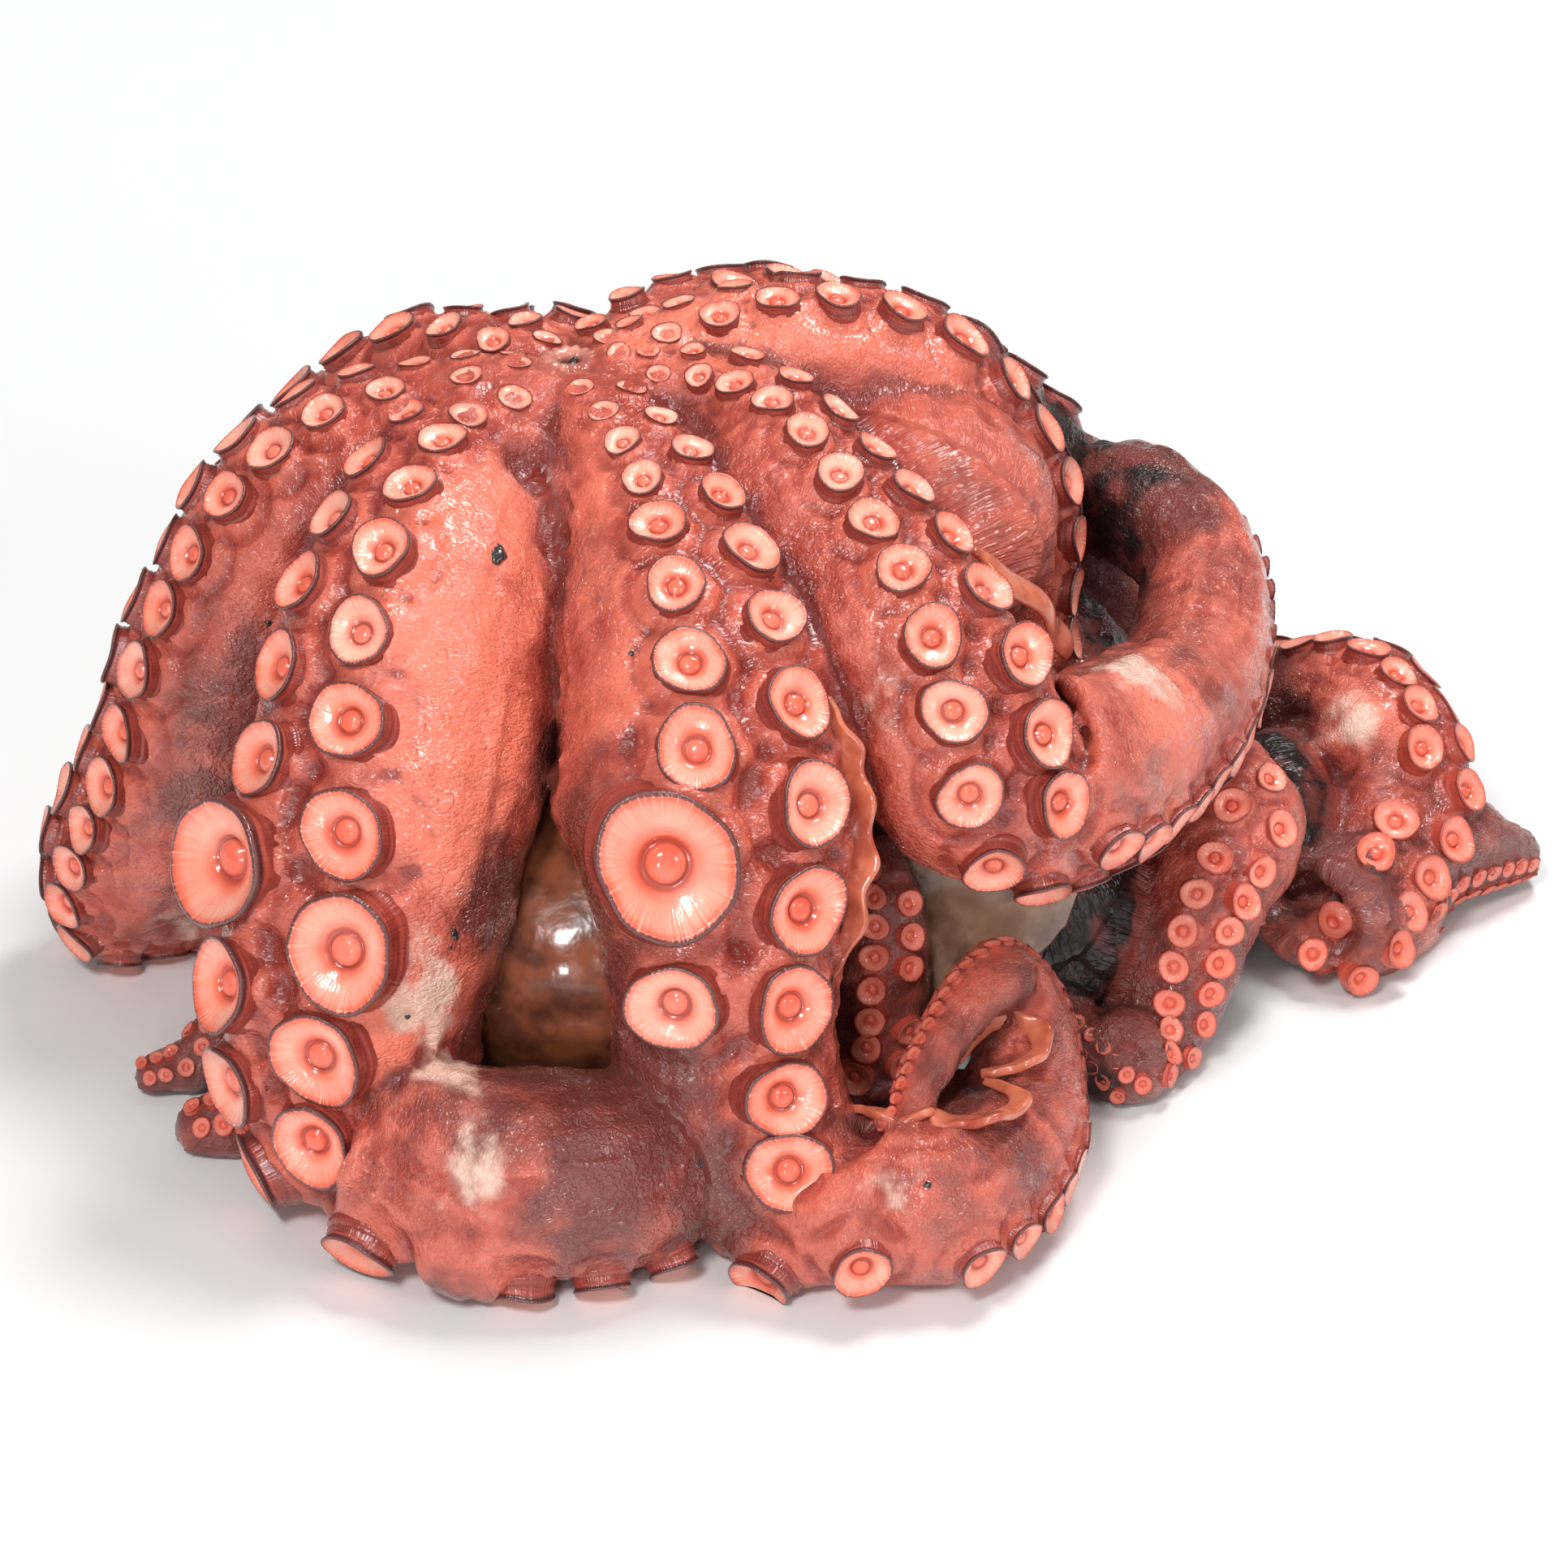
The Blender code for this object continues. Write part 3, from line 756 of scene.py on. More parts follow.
@dataclass
class Suckers:
    """All suckers: cast once at each detail, then copied to every site and joined arm by arm."""

    mould: CupMould = field(default_factory=CupMould)
    oval: float = 0.07  # how far two, three and seven lobes draw the sucker out of round
    three_lobed: float = 0.03
    seven_lobed: float = 0.012
    rim_wave: float = 0.022
    plug_shift: float = 0.025
    plug_heights: tuple = (-0.03, 0.02)
    stretches: tuple = (0.9, 1.12)  # least and most height of a sucker against its mould
    sunk: float = -0.055  # how deep the foot sits in its collar, in diameters
    casts: dict = field(default_factory=dict)

    def prepare(self) -> None:
        """Casts one sucker at each detail."""
        for detail in CupDetail:
            self.casts[detail] = self.mould.cast(detail)

    def discard(self) -> None:
        """Removes the casts once every copy is made."""
        for cast in self.casts.values():
            bpy.data.objects.remove(cast, do_unlink=True)

    def copy_at(self, site: CupSite, rng: np.random.Generator) -> bpy.types.Object:
        """One sucker of its own at a site, a little out of round and with a wavy rim.

        Args:
            site: Where it stands.
            rng: Source of its irregularities.

        Returns:
            The sucker, in metres.
        """
        detail = next(kind for kind in CupDetail if site.diameter <= kind.value[1])
        cast = self.casts[detail]
        cup = cast.copy()
        cup.data = cast.data.copy()
        bpy.context.scene.collection.objects.link(cup)
        place = coordinates(cast)
        radius = np.hypot(place[:, 0], place[:, 1])
        angle = np.arctan2(place[:, 1], place[:, 0])
        phases = rng.uniform(0.0, math.tau, 4)
        swell = 1.0 + self.oval * np.cos(2 * angle + phases[0])
        swell += self.three_lobed * np.cos(3 * angle + phases[1])
        swell += self.seven_lobed * np.cos(7 * angle + phases[2])
        outer = smoothstep(radius, 0.10, 0.42)
        shaped = place.copy()
        shaped[:, :2] *= (1.0 + (swell - 1.0) * outer)[:, None]
        wave = np.cos(2 * angle + phases[3]) + 0.5 * np.cos(3 * angle + phases[0])
        at_rim = smoothstep(radius, 0.2, 0.5)
        shaped[:, 2] += self.rim_wave * wave * at_rim * smoothstep(place[:, 2], 0.0, 0.2)
        plug = smoothstep(radius, 0.20, 0.10)
        shaped[:, :2] += plug[:, None] * rng.uniform(-self.plug_shift, self.plug_shift, 2)
        shaped[:, 2] += plug * rng.uniform(*self.plug_heights)
        shaped[:, 2] = (shaped[:, 2] - self.sunk) * rng.uniform(*self.stretches)
        side = unit(np.cross(site.facing, site.heading))
        ahead = np.cross(side, site.facing)
        turned = shaped @ np.vstack([side, ahead, site.facing])
        move_vertices(cup, (site.place + turned * site.diameter) * MM)
        set_attribute(cup, "cup_place", place)
        set_attribute(cup, "cup_seed", np.full(len(place), rng.uniform(0.0, 10.0)))
        set_attribute(cup, "cup_tone", np.full(len(place), site.tone))
        return cup

    def on_arm(self, name: str, sites: list, rng: np.random.Generator) -> bpy.types.Object:
        """The suckers of one arm as one piece."""
        return joined([self.copy_at(site, rng) for site in sites], name)


@dataclass(frozen=True)
class Lump:
    """A rounded mass under the arms: centre and radii in millimetres."""

    centre: tuple
    radii: tuple

    def ball(self) -> bpy.types.Object:
        """The mass as a closed ball, in metres."""
        bpy.ops.mesh.primitive_uv_sphere_add(segments=48, ring_count=32, location=in_metres(self.centre))
        bpy.context.object.scale = np.array(self.radii) * MM
        return named_solid("lump")


@dataclass(frozen=True)
class Patch:
    """A rounded patch of skin painted another colour, for its own tone and for painted light and shade:
    centre and radius in millimetres, and how strong it is.
    """

    centre: tuple
    radius: float
    strength: float

    def over(self, places: np.ndarray, ragged: np.ndarray) -> np.ndarray:
        """How strongly the patch colours each point.

        Args:
            places: Points in millimetres.
            ragged: A factor round 1 for each point that breaks up the outline.

        Returns:
            From 0 to the patch's strength for each point.
        """
        gap = np.linalg.norm(places - (np.array(self.centre) - CENTRE), axis=1) * ragged
        return self.strength * smoothstep(gap, self.radius * PATCH_FADE, self.radius * PATCH_CORE)


def patch_mask(places: np.ndarray, patches: tuple, ragged: np.ndarray) -> np.ndarray:
    """How strongly each point lies in a set of patches.

    Args:
        places: Points in millimetres.
        patches: The patches.
        ragged: A factor round 1 for each point that breaks up the outlines.

    Returns:
        From 0 to 1 for each point.
    """
    mask = np.zeros(len(places))
    for patch in patches:
        mask = np.maximum(mask, patch.over(places, ragged))
    return mask


@dataclass(frozen=True)
class Wave:
    """A layer of lumps on the skin: height and size in millimetres, and whether it has sharp ridges."""

    height: float
    size: float
    pattern: int
    creased: bool = False

    def on(self, places: np.ndarray) -> np.ndarray:
        """The layer's height at each point, in millimetres."""
        return self.height * relief(places / self.size, SEED + self.pattern, self.creased)


@dataclass(frozen=True)
class Wrinkle:
    """A layer of wrinkles on an arm's flanks, laid out along the arm and round it."""

    height: float
    length: float  # millimetres of arm for one wrinkle
    turns: float  # wrinkles for each radian round the arm
    shift: float  # keeps the layers apart
    pattern: int
    creased: bool = True


@dataclass(frozen=True)
class Collar:
    """A ring of raised skin round a sucker's foot: radius, breadth and height in diameters."""

    radius: float
    breadth: float
    height: float


@dataclass
class Flesh:
    """The fused skin of arms, web and inner masses, with its folds, collars and colour masks."""

    arms: list
    web: tuple = (
        Lump((-32, 20, 92), (72, 60, 49)),
        Lump((25, 18, 110), (34, 32, 29)),
        Lump((114, 44, 20), (14, 24, 20)),
        Lump((-63, -111, 11), (10, 7, 10)),
        Lump((-59, -108, 24), (9, 7, 11)),
    )
    # masses inside, under the arms: where they show, off the arms, they are painted darker lower down, near
    # black, as painted shade
    inside: tuple = (
        Lump((-38, 16, 44), (50, 50, 42)),
        Lump((28, 46, 44), (56, 54, 42)),
        Lump((50, 2, 24), (36, 34, 28)),
        Lump((34, -68, 6), (22, 20, 14)),
    )
    crown: tuple = (-45.0, 20.0, 146.0)
    voxel: float = 1.45
    relaxings: int = 5
    most_triangles: int = 186000
    waves: tuple = (Wave(0.9, 21.0, 0), Wave(0.45, 9.0, 1), Wave(0.30, 6.5, 10, creased=True))
    wrinkles: tuple = (
        Wrinkle(0.42, 5.5, 1.3, 0.0, 2),
        Wrinkle(0.24, 2.9, 2.4, 5.0, 3, creased=False),
        Wrinkle(0.55, 34.0, 5.5, 9.0, 4),
    )
    arm_shift: float = 17.0  # keeps the wrinkles of two arms apart
    flank_angles: tuple = (0.5, 1.3)  # where an arm's flank starts and is full, in radians from its suckers
    collars: tuple = (Collar(0.48, 0.15, 0.110), Collar(0.78, 0.09, -0.035), Collar(0.95, 0.09, 0.026))
    collar_reach: float = 1.3
    collar_depth: float = 0.8
    low_zone: float = 2.0  # skin below this height is pressed into the space over the least height
    least_height: float = 0.3
    low_press: float = 2.5
    ridge_zone: float = 80.0  # how far from the crown the web has ridges
    ridge_cups: float = 68.0  # how far from it the suckers are that they join
    ridge_span: float = 1.45  # longest ridge, in sums of the two suckers' diameters
    ridge_height: float = 0.15  # in diameters of the smaller sucker
    ridge_sag: float = 0.55
    ridge_breadth: float = 1.5
    ahead_weight: float = 1.6  # how much a gap along the arm counts when the nearest arm is sought
    back_angles: tuple = (1.3, 2.5)  # where an arm's back starts and is full, in radians
    back_heights: tuple = (128.0, 80.0)  # where the back is light, high up, and fully dark
    # skin off the arms, on the web and the inner masses, is painted darker lower down, from web_least_tone
    # to near black: painted shade
    web_gaps: tuple = (1.12, 1.5)  # where the arm ends and the web is full, in tube radii
    web_heights: tuple = (112.0, 70.0)
    web_least_tone: float = 0.12
    tone_wave: Wave = Wave(0.14, 16.0, 6)
    ragged_waves: tuple = (Wave(0.28, 11.0, 7), Wave(0.18, 4.0, 8))  # they break up the patches' outlines
    fold_rounds: int = 14  # how widely the skin's level is taken for its fine folds
    hollow_rounds: int = 90  # and for its broad hollows
    bright: tuple = (
        # centre, radius and strength of each patch of lighter skin: stretched skin, and painted light on
        # the lit tops and flanks
        Patch((-65, -54, 121), 26, 1.0),
        Patch((-63, -65, 105), 24, 1.0),
        Patch((-68, -74, 88), 18, 0.8),
        Patch((-56, -32, 133), 24, 0.9),
        Patch((-28, -60, 118), 12, 0.5),
        Patch((-55, 8, 145), 16, 0.5),
        Patch((-16, 29, 152), 26, 0.9),
        Patch((23, 26, 146), 24, 0.45),
        Patch((-39, 40, 145), 18, 0.7),
        Patch((73, -23, 95), 18, 0.9),
        Patch((80, -38, 82), 15, 0.6),
        Patch((90, 0, 92), 13, 0.45),
        Patch((128, 44, 46), 15, 0.8),
        Patch((-125, 20, 20), 16, 0.4),
        Patch((-74, -86, 50), 16, 0.7),
        Patch((-61, -110, 18), 12, 0.5),
    )
    dusk: tuple = (
        # the same for each darkened patch: mostly painted shade in the web's hollows, inside and under the
        # loop and low down between the arms, in places the skin's own darker tone
        Patch((66, 84, 96), 26, 1.0),
        Patch((-37, -36, 122), 18, 0.26),
        Patch((37, -2, 130), 17, 0.30),
        Patch((-36, -102, 28), 24, 0.72),
        Patch((-28, -92, 42), 18, 0.70),
        Patch((84, 8, 95), 20, 0.28),
        Patch((88, -10, 86), 18, 0.34),
        Patch((28, -108, 24), 20, 0.30),
        Patch((48, -96, 25), 14, 0.50),
        Patch((79, 58, 101), 18, 0.92),
        Patch((66, 56, 88), 26, 1.0),
        Patch((73, 38, 80), 17, 1.0),
        Patch((87, 43, 99), 12, 0.62),
        Patch((95, 28, 94), 10, 0.40),
        Patch((105, 30, 74), 13, 0.42),
        Patch((109, 78, 28), 19, 0.92),
        Patch((117, 66, 36), 12, 0.66),
        Patch((156, 32, 12), 18, 0.70),
        Patch((172, 46, 6), 16, 0.70),
        Patch((-114, -15, 84), 25, 0.50),
        Patch((-117, -13, 56), 25, 0.50),
        Patch((-100, -34, 84), 24, 0.50),
        Patch((-104, -5, 125), 14, 0.20),
        Patch((-58, -70, 70), 13, 0.70),
        Patch((-47, -50, 88), 10, 0.85),
        Patch((-37, -76, 93), 15, 0.50),
        Patch((-36, -80, 76), 15, 0.56),
        Patch((-33, -84, 60), 14, 0.60),
        Patch((-31, -88, 44), 15, 0.70),
        Patch((-46, -88, 36), 17, 0.74),
        Patch((-30, -99, 30), 17, 0.66),
        Patch((-40, -108, 22), 18, 0.60),
        Patch((-16, -100, 18), 18, 0.72),
        Patch((12, -56, 10), 13, 0.90),
        Patch((14, -70, 60), 14, 0.55),
        Patch((54, -80, 26), 10, 0.36),
        Patch((52, -62, 28), 12, 0.45),
        Patch((36, -74, 18), 13, 1.0),
        Patch((79, -24, 32), 13, 0.45),
        Patch((77, -35, 16), 15, 0.60),
        Patch((66, -46, 5), 17, 0.90),
        Patch((72, -47, 84), 12, 0.30),
        Patch((60, 0, 104), 10, 0.55),
        Patch((38, -76, 28), 8, 0.9),
    )
    pale: tuple = (
        # the same for each patch of bared, paler flesh; some, as at the curled tip of the front arm, are a
        # painted highlight
        Patch((-72, -84, 64), 7, 0.9),
        Patch((-71, -85, 54), 9, 1.0),
        Patch((-67, -88, 44), 8, 1.0),
        Patch((-59, -110, 31), 9, 1.0),
        Patch((-61, -102, 36), 7, 0.9),
        Patch((73, -23, 95), 9, 0.95),
        Patch((128, 44, 46), 9, 1.0),
        Patch((19, -57, 107), 6, 0.5),
        Patch((-133, 7, 17), 10, 0.6),
        Patch((22, -108, 27), 6, 0.6),
        Patch((24, -90, 26), 5, 0.8),
    )

    def fuse(self) -> bpy.types.Object:
        """Joins the tubes and balls and shrinks one closed skin onto their outside.

        Returns:
            The skin before its folds.
        """
        parts = [arm.tube() for arm in self.arms]
        parts += [lump.ball() for lump in self.web + self.inside]
        skin = joined(parts, "skin")
        apply_modifier(skin, "REMESH", mode="VOXEL", voxel_size=self.voxel * MM, adaptivity=0.0)
        apply_modifier(skin, "SMOOTH", factor=0.5, iterations=self.relaxings)
        log.info("fused skin: %d faces", len(skin.data.polygons))
        return skin

    def placed_on_arms(self, places: np.ndarray) -> dict:
        """Finds the nearest stretch of arm for each point.

        Args:
            places: Points in millimetres.

        Returns:
            For each point the arm's index, the length and share along it, the angle round it from its
            suckers, and how many tube radii away it is.
        """
        course = {
            key: np.concatenate([arm.course[key] for arm in self.arms]).astype(np.float32)
            for key in ("point", "face", "across", "along", "width", "depth", "length")
        }
        counts = [len(arm.course["length"]) for arm in self.arms]
        owner = np.repeat(np.arange(len(self.arms)), counts)
        total = np.repeat([arm.course["length"][-1] for arm in self.arms], counts)
        middle = course["point"] - course["face"] * course["depth"][:, None]
        found = {key: [] for key in ("arm", "length", "share", "angle", "reach")}
        for chunk in np.array_split(places.astype(np.float32), max(1, len(places) // POINTS_AT_ONCE)):
            gap = chunk[:, None, :] - middle[None]
            up = (gap * course["face"]).sum(axis=2) / course["depth"]
            side = (gap * course["across"]).sum(axis=2) / course["width"]
            ahead = (gap * course["along"]).sum(axis=2) / course["width"]
            reach = np.sqrt(up**2 + side**2 + (self.ahead_weight * ahead) ** 2)
            best = reach.argmin(axis=1)
            rows = np.arange(len(chunk))
            found["arm"].append(owner[best])
            found["length"].append(course["length"][best] + ahead[rows, best] * course["width"][best])
            found["share"].append(course["length"][best] / total[best])
            found["angle"].append(np.arctan2(side[rows, best], up[rows, best]))
            found["reach"].append(reach[rows, best])
        return {key: np.concatenate(values) for key, values in found.items()}

    def fold(self, skin: bpy.types.Object, sites: list) -> None:
        """Raises lumps, cross wrinkles and long creases, and a collar round each sucker's foot.

        Args:
            skin: The fused skin.
            sites: Where the suckers stand.
        """
        places = coordinates(skin) / MM
        normals = vertex_normals(skin)
        on_arm = self.placed_on_arms(places)
        offset = on_arm["arm"] * self.arm_shift
        angle = on_arm["angle"]
        flank = smoothstep(np.abs(angle), *self.flank_angles)
        height = np.zeros(len(places))
        for wave in self.waves:
            height += wave.on(places)
        for wrinkle in self.wrinkles:
            grid = (on_arm["length"] / wrinkle.length, angle * wrinkle.turns, offset + wrinkle.shift)
            layer = relief(np.stack(grid, axis=1), SEED + wrinkle.pattern, wrinkle.creased)
            height += wrinkle.height * flank * layer
        places += normals * height[:, None]
        self.raise_web_ridges(places, normals, sites)
        for site in sites:
            gap = places - site.place
            up = gap @ site.facing
            flat = np.linalg.norm(gap - up[:, None] * site.facing, axis=1) / site.diameter
            near = (flat < self.collar_reach) & (np.abs(up) < self.collar_depth * site.diameter)
            lift = sum(
                ring.height * np.exp(-(((flat[near] - ring.radius) / ring.breadth) ** 2))
                for ring in self.collars
            )
            places[near] += site.facing * (site.diameter * lift)[:, None]
        below = places[:, 2] - self.low_zone
        pressed = self.least_height + (self.low_zone - self.least_height) * np.exp(below / self.low_press)
        places[:, 2] = np.where(below < 0.0, pressed, places[:, 2])
        move_vertices(skin, places * MM)

    def raise_web_ridges(self, places: np.ndarray, normals: np.ndarray, sites: list) -> None:
        """Draws the skin up into thin sagging ridges between neighbouring suckers near the mouth.

        Args:
            places: The skin's points in millimetres, changed in place.
            normals: Their normals.
            sites: Where the suckers stand.
        """
        crown = np.array(self.crown) - CENTRE
        near = np.linalg.norm(places - crown, axis=1) < self.ridge_zone
        local = places[near]
        rise = np.zeros(len(local))
        close = [site for site in sites if np.linalg.norm(site.place - crown) < self.ridge_cups]
        for index, one in enumerate(close):
            for two in close[index + 1:]:
                span = two.place - one.place
                reach = float(np.linalg.norm(span))
                if reach > self.ridge_span * (one.diameter + two.diameter):
                    continue
                share = np.clip((local - one.place) @ span / reach**2, 0.0, 1.0)
                gap = np.linalg.norm(local - one.place - share[:, None] * span, axis=1)
                sag = 1.0 - self.ridge_sag * np.sin(np.pi * share)
                peak = self.ridge_height * min(one.diameter, two.diameter) * sag
                rise = np.maximum(rise, peak * np.exp(-((gap / self.ridge_breadth) ** 2)))
        places[near] += normals[near] * rise[:, None]

    def thin_out(self, skin: bpy.types.Object) -> None:
        """Merges faces on plain stretches until the skin is light enough."""
        skin.data.calc_loop_triangles()
        ratio = self.most_triangles / len(skin.data.loop_triangles)
        if ratio < 1.0:
            apply_modifier(skin, "DECIMATE", ratio=ratio)

    @staticmethod
    def hollowness(skin: bpy.types.Object, rounds: int) -> np.ndarray:
        """How far each point lies below the level of the skin round it, in millimetres.

        Args:
            skin: The skin.
            rounds: How many times the level is spread to the neighbours.

        Returns:
            Positive in folds and grooves, negative on ridges.
        """
        places = coordinates(skin) / MM
        normals = vertex_normals(skin)
        ends = np.empty(len(skin.data.edges) * 2, np.int32)
        skin.data.edges.foreach_get("vertices", ends)
        one, two = ends.reshape(-1, 2).T
        count = len(places)
        degree = np.maximum(np.bincount(one, minlength=count) + np.bincount(two, minlength=count), 1)
        level = places.copy()
        for _ in range(rounds):
            for axis in range(3):
                spread = np.bincount(one, level[two, axis], count)
                spread += np.bincount(two, level[one, axis], count)
                level[:, axis] = 0.3 * level[:, axis] + 0.7 * spread / degree
        return ((level - places) * normals).sum(axis=1)

    def paint(self, skin: bpy.types.Object) -> None:
        """Stores what the skin's finish reads: darkness of the skin and painted shade, folds and hollows
        for painted crease shade, lighter skin with painted light, bared flesh with painted highlights, and
        place on the arm.
        """
        places = coordinates(skin) / MM
        on_arm = self.placed_on_arms(places)
        owner = on_arm["arm"]
        tone = np.zeros(len(places))
        for index, arm in enumerate(self.arms):
            mine = owner == index
            back = arm.back_tone * smoothstep(np.abs(on_arm["angle"][mine]), *self.back_angles)
            back *= smoothstep(places[mine, 2], *self.back_heights)
            tone[mine] = np.maximum(arm.tone(on_arm["share"][mine]), back)
        # off the arms the skin takes painted shade that deepens lower down
        off_arm = smoothstep(on_arm["reach"], *self.web_gaps)
        depth = smoothstep(places[:, 2], *self.web_heights)
        web_shade = self.web_least_tone + (1.0 - self.web_least_tone) * depth
        tone = tone + self.tone_wave.on(places)
        tone = np.clip(tone * (1.0 - off_arm) + off_arm * web_shade, 0.0, 1.0)
        ragged = 1.0 + self.ragged_waves[0].on(places) + self.ragged_waves[1].on(places)
        # the darkened patches: mostly painted shade, in places darker skin
        tone = np.maximum(tone, patch_mask(places, self.dusk, ragged))
        pale = patch_mask(places, self.pale, ragged)
        bright = patch_mask(places, self.bright, ragged)
        angle = on_arm["angle"]
        grain = np.stack([on_arm["length"] * MM * 10.0, np.sin(angle), np.cos(angle) + owner * 3.0], axis=1)
        set_attribute(skin, "tone", tone)
        set_attribute(skin, "pale", pale)
        set_attribute(skin, "bright", bright)
        # fold and hollow drive the painted shade in folds and hollows and the painted light on ridges
        set_attribute(skin, "fold", self.hollowness(skin, self.fold_rounds))
        set_attribute(skin, "hollow", self.hollowness(skin, self.hollow_rounds))
        set_attribute(skin, "arm_place", grain)
        set_attribute(skin, "flank", smoothstep(np.abs(angle), *self.flank_angles))


class Graph:
    """Short ways to lay out the nodes of one material or group."""

    def __init__(self, tree: bpy.types.NodeTree) -> None:
        """Starts on a node tree."""
        self.tree = tree

    def add(self, kind: str, **settings: object) -> bpy.types.Node:
        """Adds a node of a kind, with its settings."""
        node = self.tree.nodes.new(kind)
        for name, value in settings.items():
            setattr(node, name, value)
        return node

    def feed(self, socket: Socket, source: object) -> None:
        """Links a source socket to an input, or sets the input to a plain value."""
        if isinstance(source, Socket):
            self.tree.links.new(source, socket)
        elif source is not None:
            socket.default_value = source

    def value(self, name: str, kind: str = "Fac") -> Socket:
        """Reads one of the piece's own attributes."""
        return self.add("ShaderNodeAttribute", attribute_name=name).outputs[kind]

    def math(self, operation: str, one: object, two: object = None, clamp: bool = False) -> Socket:
        """One sum on one or two numbers."""
        node = self.add("ShaderNodeMath", operation=operation, use_clamp=clamp)
        self.feed(node.inputs[0], one)
        self.feed(node.inputs[1], two)
        return node.outputs[0]

    def vector(self, operation: str, one: object, two: object = None) -> Socket:
        """One sum on one or two vectors."""
        node = self.add("ShaderNodeVectorMath", operation=operation)
        self.feed(node.inputs[0], one)
        self.feed(node.inputs[1], two)
        return node.outputs["Value" if operation in ("LENGTH", "DOT_PRODUCT") else "Vector"]

    def step(self, source: object, low: float, high: float, start: float = 0.0, end: float = 1.0) -> Socket:
        """A soft step of a number from start at low to end at high."""
        node = self.add("ShaderNodeMapRange", interpolation_type="SMOOTHSTEP")
        names = ("Value", "From Min", "From Max", "To Min", "To Max")
        for name, value in zip(names, (source, low, high, start, end)):
            self.feed(node.inputs[name], value)
        return node.outputs["Result"]

    def varied(self, source: Socket, scale: float, low: float, high: float) -> Socket:
        """A number with noise of a scale added to it, from low to high."""
        return self.math("ADD", source, self.step(self.noise(self.here(), scale, 3.0), 0.3, 0.7, low, high))

    def mix(self, mask: object, under: object, over: object, blend: str = "MIX") -> Socket:
        """One colour over another, where the mask says."""
        node = self.add("ShaderNodeMix", data_type="RGBA", blend_type=blend)
        self.feed(node.inputs[0], mask)
        for socket, source in ((node.inputs[6], under), (node.inputs[7], over)):
            self.feed(socket, (*source, 1.0) if isinstance(source, tuple) else source)
        return node.outputs[2]

    def noise(self, place: object, scale: float, detail: float = 2.0, rough: float = 0.5) -> Socket:
        """Soft noise from 0 to 1 round a half."""
        node = self.add("ShaderNodeTexNoise")
        self.feed(node.inputs["Vector"], place)
        node.inputs["Scale"].default_value = scale
        node.inputs["Detail"].default_value = detail
        node.inputs["Roughness"].default_value = rough
        return node.outputs["Fac"]

    def here(self) -> Socket:
        """The place on the object, in metres."""
        return self.add("ShaderNodeTexCoord").outputs["Object"]

    def bump(self, height: object, strength: float, distance: float, under: object = None) -> Socket:
        """A normal tilted by a height, in metres of distance."""
        node = self.add("ShaderNodeBump")
        node.inputs["Strength"].default_value = strength
        node.inputs["Distance"].default_value = distance
        self.feed(node.inputs["Height"], height)
        self.feed(node.inputs["Normal"], under)
        return node.outputs["Normal"]


class SharedGroups:
    """Shader groups that several finishes place with their own values."""

    def __init__(self) -> None:
        """Builds each group once."""
        self.wet_film = self.make_wet_film()
        self.skin_dots = self.make_skin_dots()

    @staticmethod
    def open_group(name: str, inputs: dict, outputs: tuple) -> tuple:
        """Makes an empty group with its sockets.

        Args:
            name: The group's name.
            inputs: Name and default of each number put in.
            outputs: Names of the numbers put out.

        Returns:
            The group, its Graph, its input node and its output node.
        """
        group = bpy.data.node_groups.new(name, "ShaderNodeTree")
        for label, default in inputs.items():
            socket = group.interface.new_socket(name=label, in_out="INPUT", socket_type="NodeSocketFloat")
            socket.default_value = default
        for label in outputs:
            group.interface.new_socket(name=label, in_out="OUTPUT", socket_type="NodeSocketFloat")
        graph = Graph(group)
        return group, graph, graph.add("NodeGroupInput"), graph.add("NodeGroupOutput")

    def make_wet_film(self) -> bpy.types.NodeTree:
        """Liquid lying unevenly: where it pools the surface is smooth and glossy, elsewhere duller.

        Returns:
            A group that puts out Roughness and Film.
        """
        inputs = {"Scale": 90.0, "Pooled": 0.16, "Damp": 0.42}
        group, graph, given, out = self.open_group("wet_film", inputs, ("Roughness", "Film"))
        broad = graph.add("ShaderNodeTexNoise")
        graph.feed(broad.inputs["Vector"], graph.here())
        graph.feed(broad.inputs["Scale"], given.outputs["Scale"])
        broad.inputs["Detail"].default_value = 3.0
        film = graph.step(broad.outputs["Fac"], 0.36, 0.60)
        spread = graph.math("SUBTRACT", given.outputs["Pooled"], given.outputs["Damp"])
        rough = graph.math("ADD", graph.math("MULTIPLY", spread, film), given.outputs["Damp"])
        graph.feed(out.inputs["Roughness"], rough)
        graph.feed(out.inputs["Film"], graph.math("ADD", graph.math("MULTIPLY", film, 0.42), 0.58))
        return group

    def make_skin_dots(self) -> bpy.types.NodeTree:
        """The skin's small colour cells as scattered dots.

        Returns:
            A group that puts out Mask.
        """
        inputs = {"Scale": 900.0, "Size": 0.30}
        group, graph, given, out = self.open_group("skin_dots", inputs, ("Mask",))
        cells = graph.add("ShaderNodeTexVoronoi")
        graph.feed(cells.inputs["Vector"], graph.here())
        graph.feed(cells.inputs["Scale"], given.outputs["Scale"])
        dot = graph.math("SUBTRACT", given.outputs["Size"], cells.outputs["Distance"])
        dot = graph.math("MULTIPLY", dot, 6.0, clamp=True)
        patches = graph.noise(graph.here(), 130.0, 1.0)
        graph.feed(out.inputs["Mask"], graph.math("MULTIPLY", dot, graph.step(patches, 0.42, 0.62)))
        return group


def group_node(graph: Graph, group: bpy.types.NodeTree, **values: float) -> bpy.types.Node:
    """Places a shared group with its own values."""
    node = graph.add("ShaderNodeGroup", node_tree=group)
    for name, value in values.items():
        node.inputs[name].default_value = value
    return node


